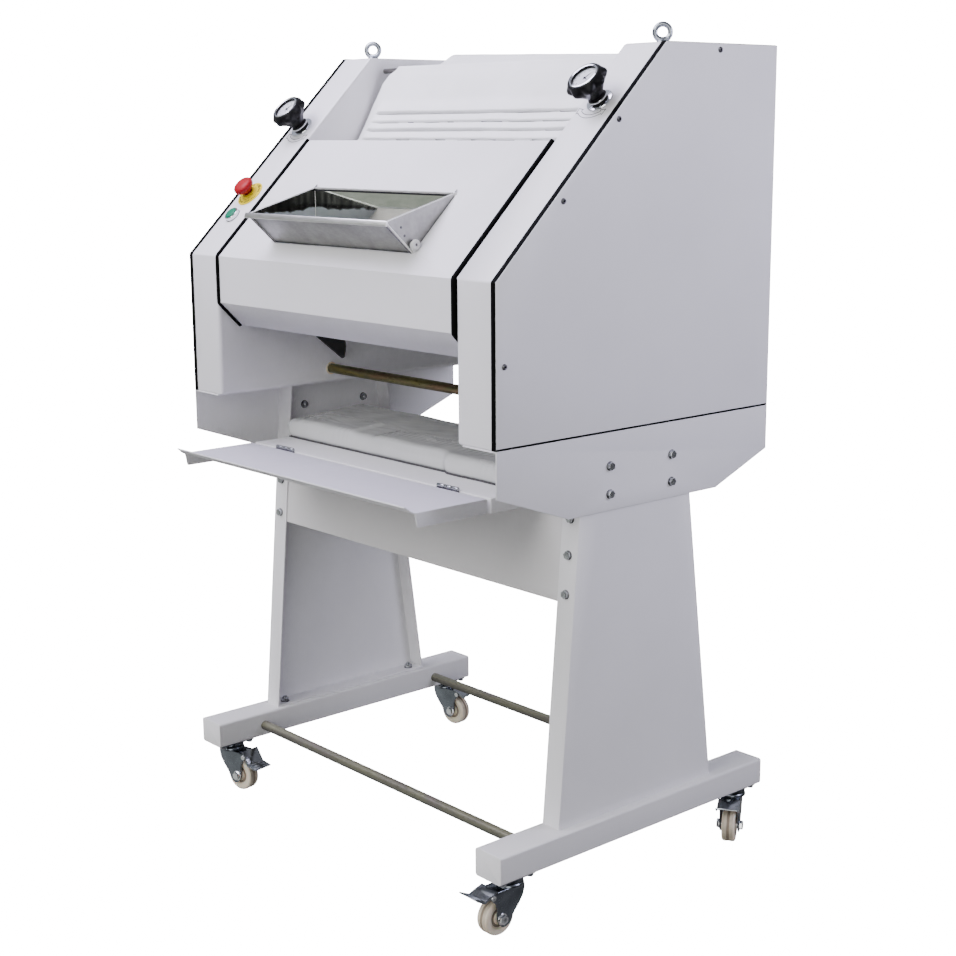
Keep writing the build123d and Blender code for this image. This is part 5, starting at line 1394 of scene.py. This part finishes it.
# -------------------------------------------------------------------- castors
CHEEK = [(-18.5, 82.0), (-18.5, 74.0), (-15.0, 62.0), (-6.0, 49.0), (5.0, 37.0), (11.0, 26.5), (17.0, 19.5), (24.5, 16.2), (32.0, 17.0),
         (39.0, 24.0), (43.0, 34.0), (43.0, 53.0), (45.5, 61.5), (54.0, 70.0), (56.5, 75.0), (54.9, 78.9), (51.0, 80.5), (44.0, 81.0), (36.0, 82.0)]


def castors():
    plates = Geo()
    zp = FOOT_Z0 - Z_FLOOR
    for name, (cx, cy, ang, press) in CASTORS.items():
        base = Matrix.Translation(P(cx, cy, Z_FLOOR))
        L = base @ Matrix.Rotation(math.radians(ang), 4, "Z")
        # top plate with its four bolts and the swivel race
        plates.solid(prism_bm(round_rect(25, 39, 5, 5), zp - 4, zp, 0.6, 2), 0, base)
        plates.lathe(base, [(0, zp - 15), (6.0, zp - 15), (6.0, zp - 10.4), (22.6, zp - 10.2), (24.0, zp - 9.2), (24.0, zp - 5.4), (23.2, zp - 4.0), (0, zp - 4.0)], 48, 0)
        for dx in (-17.5, 17.5):
            for dy in (-31.0, 31.0):
                Mb = base @ Matrix.Translation((dx * MM, dy * MM, (zp - 4) * MM)) @ Matrix.Rotation(math.pi, 4, "X") @ Matrix.Rotation(0.3, 4, "Z")
                plates.washer(Mb, 3.2, 6.4, 0.0, 1.0, 1)
                plates.hexhead(Mb, 6.0, 1.0, 5.0, 1)
        # fork
        g = Geo()
        side = L @ Matrix.Rotation(math.radians(90), 4, "X")  # local (a, z) plane, third axis towards -n
        for n0 in (15.5, -18.5):
            g.solid(prism_bm(rounded(CHEEK + [CHEEK[0]], 3.0)[:-1], -n0 - 3.0, -n0, 0.7, 2, 40.0), 0, side)
        g.solid(prism_bm([(-18.4, -18.4), (41.0, -18.4), (41.0, 18.4), (-18.4, 18.4)], 77.6, 81.7, 0.9, 2), 0, L)
        g.lathe(L, [(6.2, 80.6), (24.6, 80.6), (25.0, 81.6), (24.9, 84.0), (23.8, 86.4), (21.6, 88.0), (18.0, 88.6), (6.2, 88.6)], 56, 0, None, True)
        # rolled edge between crown and cheeks
        for sn in (-1, 1):
            line = [L @ Vector((a * MM, sn * 16.9 * MM, 81.0 * MM)) for a in (-17.0, -6.0, 6.0, 18.0, 30.0, 41.0)]
            g.tube(line, 1.7, 12, 0)
        ax = L @ Matrix.Translation((TRAIL * MM, 0, WHEEL_R * MM))
        for sn, hh in ((-1, 6.0), (1, 7.0)):
            M = ax @ Matrix.Rotation(math.radians(-90 * sn), 4, "X") @ Matrix.Translation((0, 0, 18.5 * MM)) @ Matrix.Rotation(0.35 * sn, 4, "Z")
            g.washer(M, 6.1, 10.2, 0.0, 1.2, 1)
            g.hexhead(M, 8.8, 1.2, hh, 1)
            if sn > 0:
                g.lathe(M, [(4.6, 1.0), (4.6, 6.6), (4.0, 7.0), (0, 7.0)], 18, 1)
        g.lathe(ax @ Matrix.Rotation(math.radians(90), 4, "X"), [(0, -18.4), (5.9, -18.4), (5.9, 18.4), (0, 18.4)], 24, 1)
        bp = L @ Matrix.Translation((BRAKE_PIN[0] * MM, 0, BRAKE_PIN[1] * MM))
        g.lathe(bp @ Matrix.Rotation(math.radians(90), 4, "X"), [(0, -19.4), (1.8, -19.6), (2.6, -20.0), (4.4, -19.9), (5.0, -19.2), (5.0, -18.4), (2.9, -18.3), (2.9, 18.3), (5.0, 18.4), (5.0, 19.2), (4.4, 19.9), (2.6, 20.0), (1.8, 19.6), (0, 19.4)], 28, 1)
        g.make("castor_fork_" + name + "_pressing", [CASTOR, CHROME], "castor_fork_" + name, ["castor_fork_" + name], "zinc_steel", 35.0)
        # wheel
        g = Geo()
        half = [(6.1, -12.5), (10.2, -12.5), (11.2, -12.0), (11.8, -10.6), (12.4, -9.9), (14.4, -9.4), (17.0, -9.4), (18.4, -10.2), (20.2, -11.2), (22.4, -11.9), (24.6, -12.3), (27.6, -12.5), (29.4, -12.1), (30.8, -11.0), (31.6, -9.4), (32.0, -7.0), (32.0, -3.6), (31.7, -2.6), (31.5, -1.0)]
        prof = half + [(r, -h) for r, h in half[::-1]]
        ms = [0] * len(prof)
        # a darker brown band in the hub recess and down the middle of the tread
        for i, (p, q) in enumerate(zip(prof, prof[1:] + prof[:1])):
            if 12.3 <= p[0] <= 17.1 and 12.3 <= q[0] <= 17.1:
                ms[i] = 1
            if p[0] > 31.3 and q[0] > 31.3:
                ms[i] = 1 if abs(p[1]) < 2.7 and abs(q[1]) < 2.7 else 2
        g.lathe(ax @ Matrix.Rotation(math.radians(90), 4, "X"), prof, 72, 0, ms, True)
        g.make("castor_wheel_" + name + "_moulded", [MAT["nylon_cream"], WHEEL_BROWN_BAND, TREAD], "castor_wheel_" + name, ["castor_wheel_" + name], "nylon_cream", 30.0)
        # brake pedal
        g = Geo()
        turn = bp @ Matrix.Rotation(math.radians(press), 4, "Y")
        tp = turn @ Matrix.Translation((-BRAKE_PIN[0] * MM, 0, -BRAKE_PIN[1] * MM)) @ Matrix.Rotation(math.radians(90), 4, "X")
        top = rounded([(43.5, 86.6), (60.0, 81.6), (72.0, 77.0), (93.0, 87.2)], [20.0, 4.0])
        g.solid(prism_bm(list(top) + offset2(top, 2.4)[::-1], -20.8, 20.8, 0.6, 2, 40.0), 0, tp)
        for n0 in (-20.8, 19.3):
            g.solid(prism_bm([(61.5, 80.0), (71.5, 75.6), (72.3, 75.4), (91.5, 84.6), (90.4, 81.8), (73.0, 72.0), (70.0, 72.0), (61.0, 76.6)], n0, n0 + 1.5, 0.3, 1), 0, tp)
        for s in (0.28, 0.62):
            q = Vector((72.0, 77.0)).lerp(Vector((93.0, 87.2)), s)
            line = [tp @ Vector((q.x * MM, (q.y + 0.1) * MM, n * MM)) for n in (-17.0, -8.0, 0.0, 8.0, 17.0)]
            g.tube(line, [0.4, 0.9, 0.9, 0.9, 0.4], 10, 0)
        g.solid(prism_bm([(45.0, 84.0), (45.5, 76.0), (56.0, 75.5), (60.0, 79.2), (58.6, 80.6)], -15.0, 15.0, 0.5, 1), 0, tp)
        g.lathe(bp @ Matrix.Rotation(math.radians(90), 4, "X"), [(3.05, -15.2), (5.2, -15.2), (5.5, -14.8), (5.5, 14.8), (5.2, 15.2), (3.05, 15.2)], 28, 0, None, True)
        g.make("castor_brake_" + name + "_pedal", [PEDAL], "castor_brake_" + name, ["castor_brake_" + name], "zinc_steel", 35.0)
    plates.make("castor_top_plates", [CASTOR, BRIGHT], "frame", ["castor_plates"], NODE_SLOT["castor_plates"], 35.0)


castors()


# ---------------------------------------------------------------------- motor
def motor():
    g = Geo()
    M = frame_at(P(0, *MOTOR_C), (1, 0, 0), (0, 1, 0))
    g.solid(box_bm(272, 346.4, MOTOR_C[0] - 62, MOTOR_C[0] + 62, MOTOR_C[1] - 62, MOTOR_C[1] + 62, 5.0, 4), 0, None, xyz)
    fins = lambda r, h, a: r - (4.2 if math.cos(30 * a) < 0.15 else 0.0) if 57.0 < r < 59.0 else r
    g.lathe(M, [(0, 92), (50, 92), (58, 93), (58, 262), (54, 264), (54, 272), (0, 272)], 240, 0, None, False, fins)
    g.lathe(M, [(0, 70), (20, 70), (52, 71), (58, 74), (60, 79), (60, 92), (56, 92.5), (0, 92.5)], 64, 0)
    for k in range(5):
        g.lathe(M, [(10 + 8 * k, 69.6), (13 + 8 * k, 69.6), (13 + 8 * k, 71.4), (10 + 8 * k, 71.4)], 48, 1, None, True)
    g.solid(box_bm(150, 232, MOTOR_C[0] - 34, MOTOR_C[0] + 34, MOTOR_C[1] + 50, MOTOR_C[1] + 84, 3.0, 3), 0, None, xyz)
    g.solid(box_bm(147, 235, MOTOR_C[0] - 37, MOTOR_C[0] + 37, MOTOR_C[1] + 82, MOTOR_C[1] + 88, 2.0, 3), 0, None, xyz)
    for dx in (153, 229):
        for dy in (-31, 31):
            g.hexhead(frame_at(P(dx, MOTOR_C[0] + dy, MOTOR_C[1] + 87.4), (0, 0, 1), (1, 0, 0)), 3.2, 0.0, 2.2, 1)
    for sy in (-1, 1):
        for sz in (-1, 1):
            g.hexhead(frame_at(P(272.5, MOTOR_C[0] + sy * 52, MOTOR_C[1] + sz * 52), (-1, 0, 0), (0, 1, 0)), 5.0, 0.0, 4.0, 1)
    g.make("gearmotor_unit", [MAT["motor_grey"], DARKM], "frame", ["gearmotor"], "motor_grey", 35.0)


motor()


# ------------------------------------------------------------- floor and light
def make_stage():
    me = bpy.data.meshes.new("floor")
    bm = bmesh.new()
    bmesh.ops.create_grid(bm, x_segments=1, y_segments=1, size=30.0)
    bm.to_mesh(me)
    bm.free()
    ob = bpy.data.objects.new("floor", me)
    bpy.context.scene.collection.objects.link(ob)
    m, nt, bs, tc = new_mat("floor_pale")
    bs.inputs["Base Color"].default_value = (0.93, 0.93, 0.93, 1)
    bs.inputs["Roughness"].default_value = 0.9
    bs.inputs["Specular IOR Level"].default_value = 0.1
    bs.inputs["Emission Color"].default_value = (1, 1, 1, 1)
    bs.inputs["Emission Strength"].default_value = 17.0
    me.materials.append(m)
    ob.visible_diffuse = False
    ob.visible_glossy = False
    w = bpy.data.worlds.new("world")
    bpy.context.scene.world = w
    w.use_nodes = True
    nt = w.node_tree
    bg = nt.nodes["Background"]
    tc = nt.nodes.new("ShaderNodeTexCoord")
    sep = nt.nodes.new("ShaderNodeSeparateXYZ")
    nt.links.new(tc.outputs["Generated"], sep.inputs[0])
    lift = rng(nt, sep.outputs["Z"], 0.0, 1.0, -1.0, 1.0)
    sky = ramp(nt, lift, [(0.0, (0.36, 0.36, 0.37)), (0.30, (0.24, 0.24, 0.25)), (0.47, (0.10, 0.10, 0.105)), (0.53, (0.12, 0.12, 0.125)), (0.70, (0.28, 0.28, 0.30)), (1.0, (0.44, 0.44, 0.47))])
    # a pale green wall to the front left, bluish light from the upper left, and a dark room to the front right
    def facing(vx, vy, a, b):
        d = maths(nt, "ADD", maths(nt, "MULTIPLY", sep.outputs["X"], vx), maths(nt, "MULTIPLY", sep.outputs["Y"], vy))
        return rng(nt, d, 0.0, 1.0, a, b)

    def tinted(fac, colour):
        n = nt.nodes.new("ShaderNodeVectorMath")
        n.operation = "MULTIPLY"
        nt.links.new(fac, n.inputs[0])
        n.inputs[1].default_value = colour
        return n.outputs[0]

    def plus(u, v):
        n = nt.nodes.new("ShaderNodeVectorMath")
        n.operation = "ADD"
        nt.links.new(u, n.inputs[0])
        nt.links.new(v, n.inputs[1])
        return n.outputs[0]

    band = ramp(nt, lift, [(0.10, (0, 0, 0)), (0.32, (1, 1, 1)), (0.50, (1, 1, 1)), (0.58, (0, 0, 0))])
    wall = tinted(maths(nt, "MULTIPLY", facing(-0.76, -0.65, 0.45, 0.85), band), (0.40, 0.42, 0.39))
    high = ramp(nt, lift, [(0.60, (0, 0, 0)), (0.75, (1, 1, 1)), (0.95, (1, 1, 1)), (1.0, (0.4, 0.4, 0.4))])
    blue = tinted(maths(nt, "MULTIPLY", facing(-1.0, 0.1, 0.1, 0.6), high), (0.16, 0.19, 0.26))
    room = rng(nt, maths(nt, "MULTIPLY", facing(0.76, -0.65, 0.35, 0.80), band), 1.0, 0.12)
    dim = nt.nodes.new("ShaderNodeVectorMath")
    dim.operation = "MULTIPLY"
    nt.links.new(sky, dim.inputs[0])
    nt.links.new(room, dim.inputs[1])
    nt.links.new(plus(plus(dim.outputs[0], wall), blue), bg.inputs["Color"])
    bg.inputs["Strength"].default_value = 1.0
    seen = nt.nodes.new("ShaderNodeBackground")
    seen.inputs["Color"].default_value = (1, 1, 1, 1)
    seen.inputs["Strength"].default_value = 18.0
    lp = nt.nodes.new("ShaderNodeLightPath")
    mix = nt.nodes.new("ShaderNodeMixShader")
    nt.links.new(lp.outputs["Is Camera Ray"], mix.inputs[0])
    nt.links.new(bg.outputs[0], mix.inputs[1])
    nt.links.new(seen.outputs[0], mix.inputs[2])
    nt.links.new(mix.outputs[0], nt.nodes["World Output"].inputs[0])

    def sun(name, direction, strength, angle, colour):
        d = bpy.data.lights.new(name, "SUN")
        d.color = colour
        d.energy = strength
        d.angle = math.radians(angle)
        o = bpy.data.objects.new(name, d)
        bpy.context.scene.collection.objects.link(o)
        o.location = Vector(direction) * 6.0
        o.rotation_euler = (-Vector(direction)).to_track_quat("-Z", "Y").to_euler()

    def softbox(name, pos, aim, size, power, colour):
        d = bpy.data.lights.new(name, "AREA")
        d.shape = "SQUARE"
        d.size = size
        d.energy = power
        d.color = colour
        o = bpy.data.objects.new(name, d)
        bpy.context.scene.collection.objects.link(o)
        o.location = pos
        o.rotation_euler = (Vector(aim) - Vector(pos)).to_track_quat("-Z", "Y").to_euler()

    sun("front", (0.0, -0.848, 0.530), 2.08, 35.0, (1.0, 1.0, 0.965))
    sun("high_left", (-0.396, -0.472, 0.788), 1.42, 35.0, (0.985, 0.945, 1.10))
    sun("low_right", (0.638, -0.760, 0.122), 0.92, 35.0, (1.0, 1.0, 0.97))
    softbox("side_box", (2.0, 0.9, 1.6), (0.4, 0.2, 1.1), 1.0, 33.5, (0.93, 0.91, 1.14))
    softbox("top_box", (-0.3, -0.6, 2.3), (0.0, -0.1, 1.3), 1.0, 28.5, (0.95, 0.905, 1.17))


make_stage()
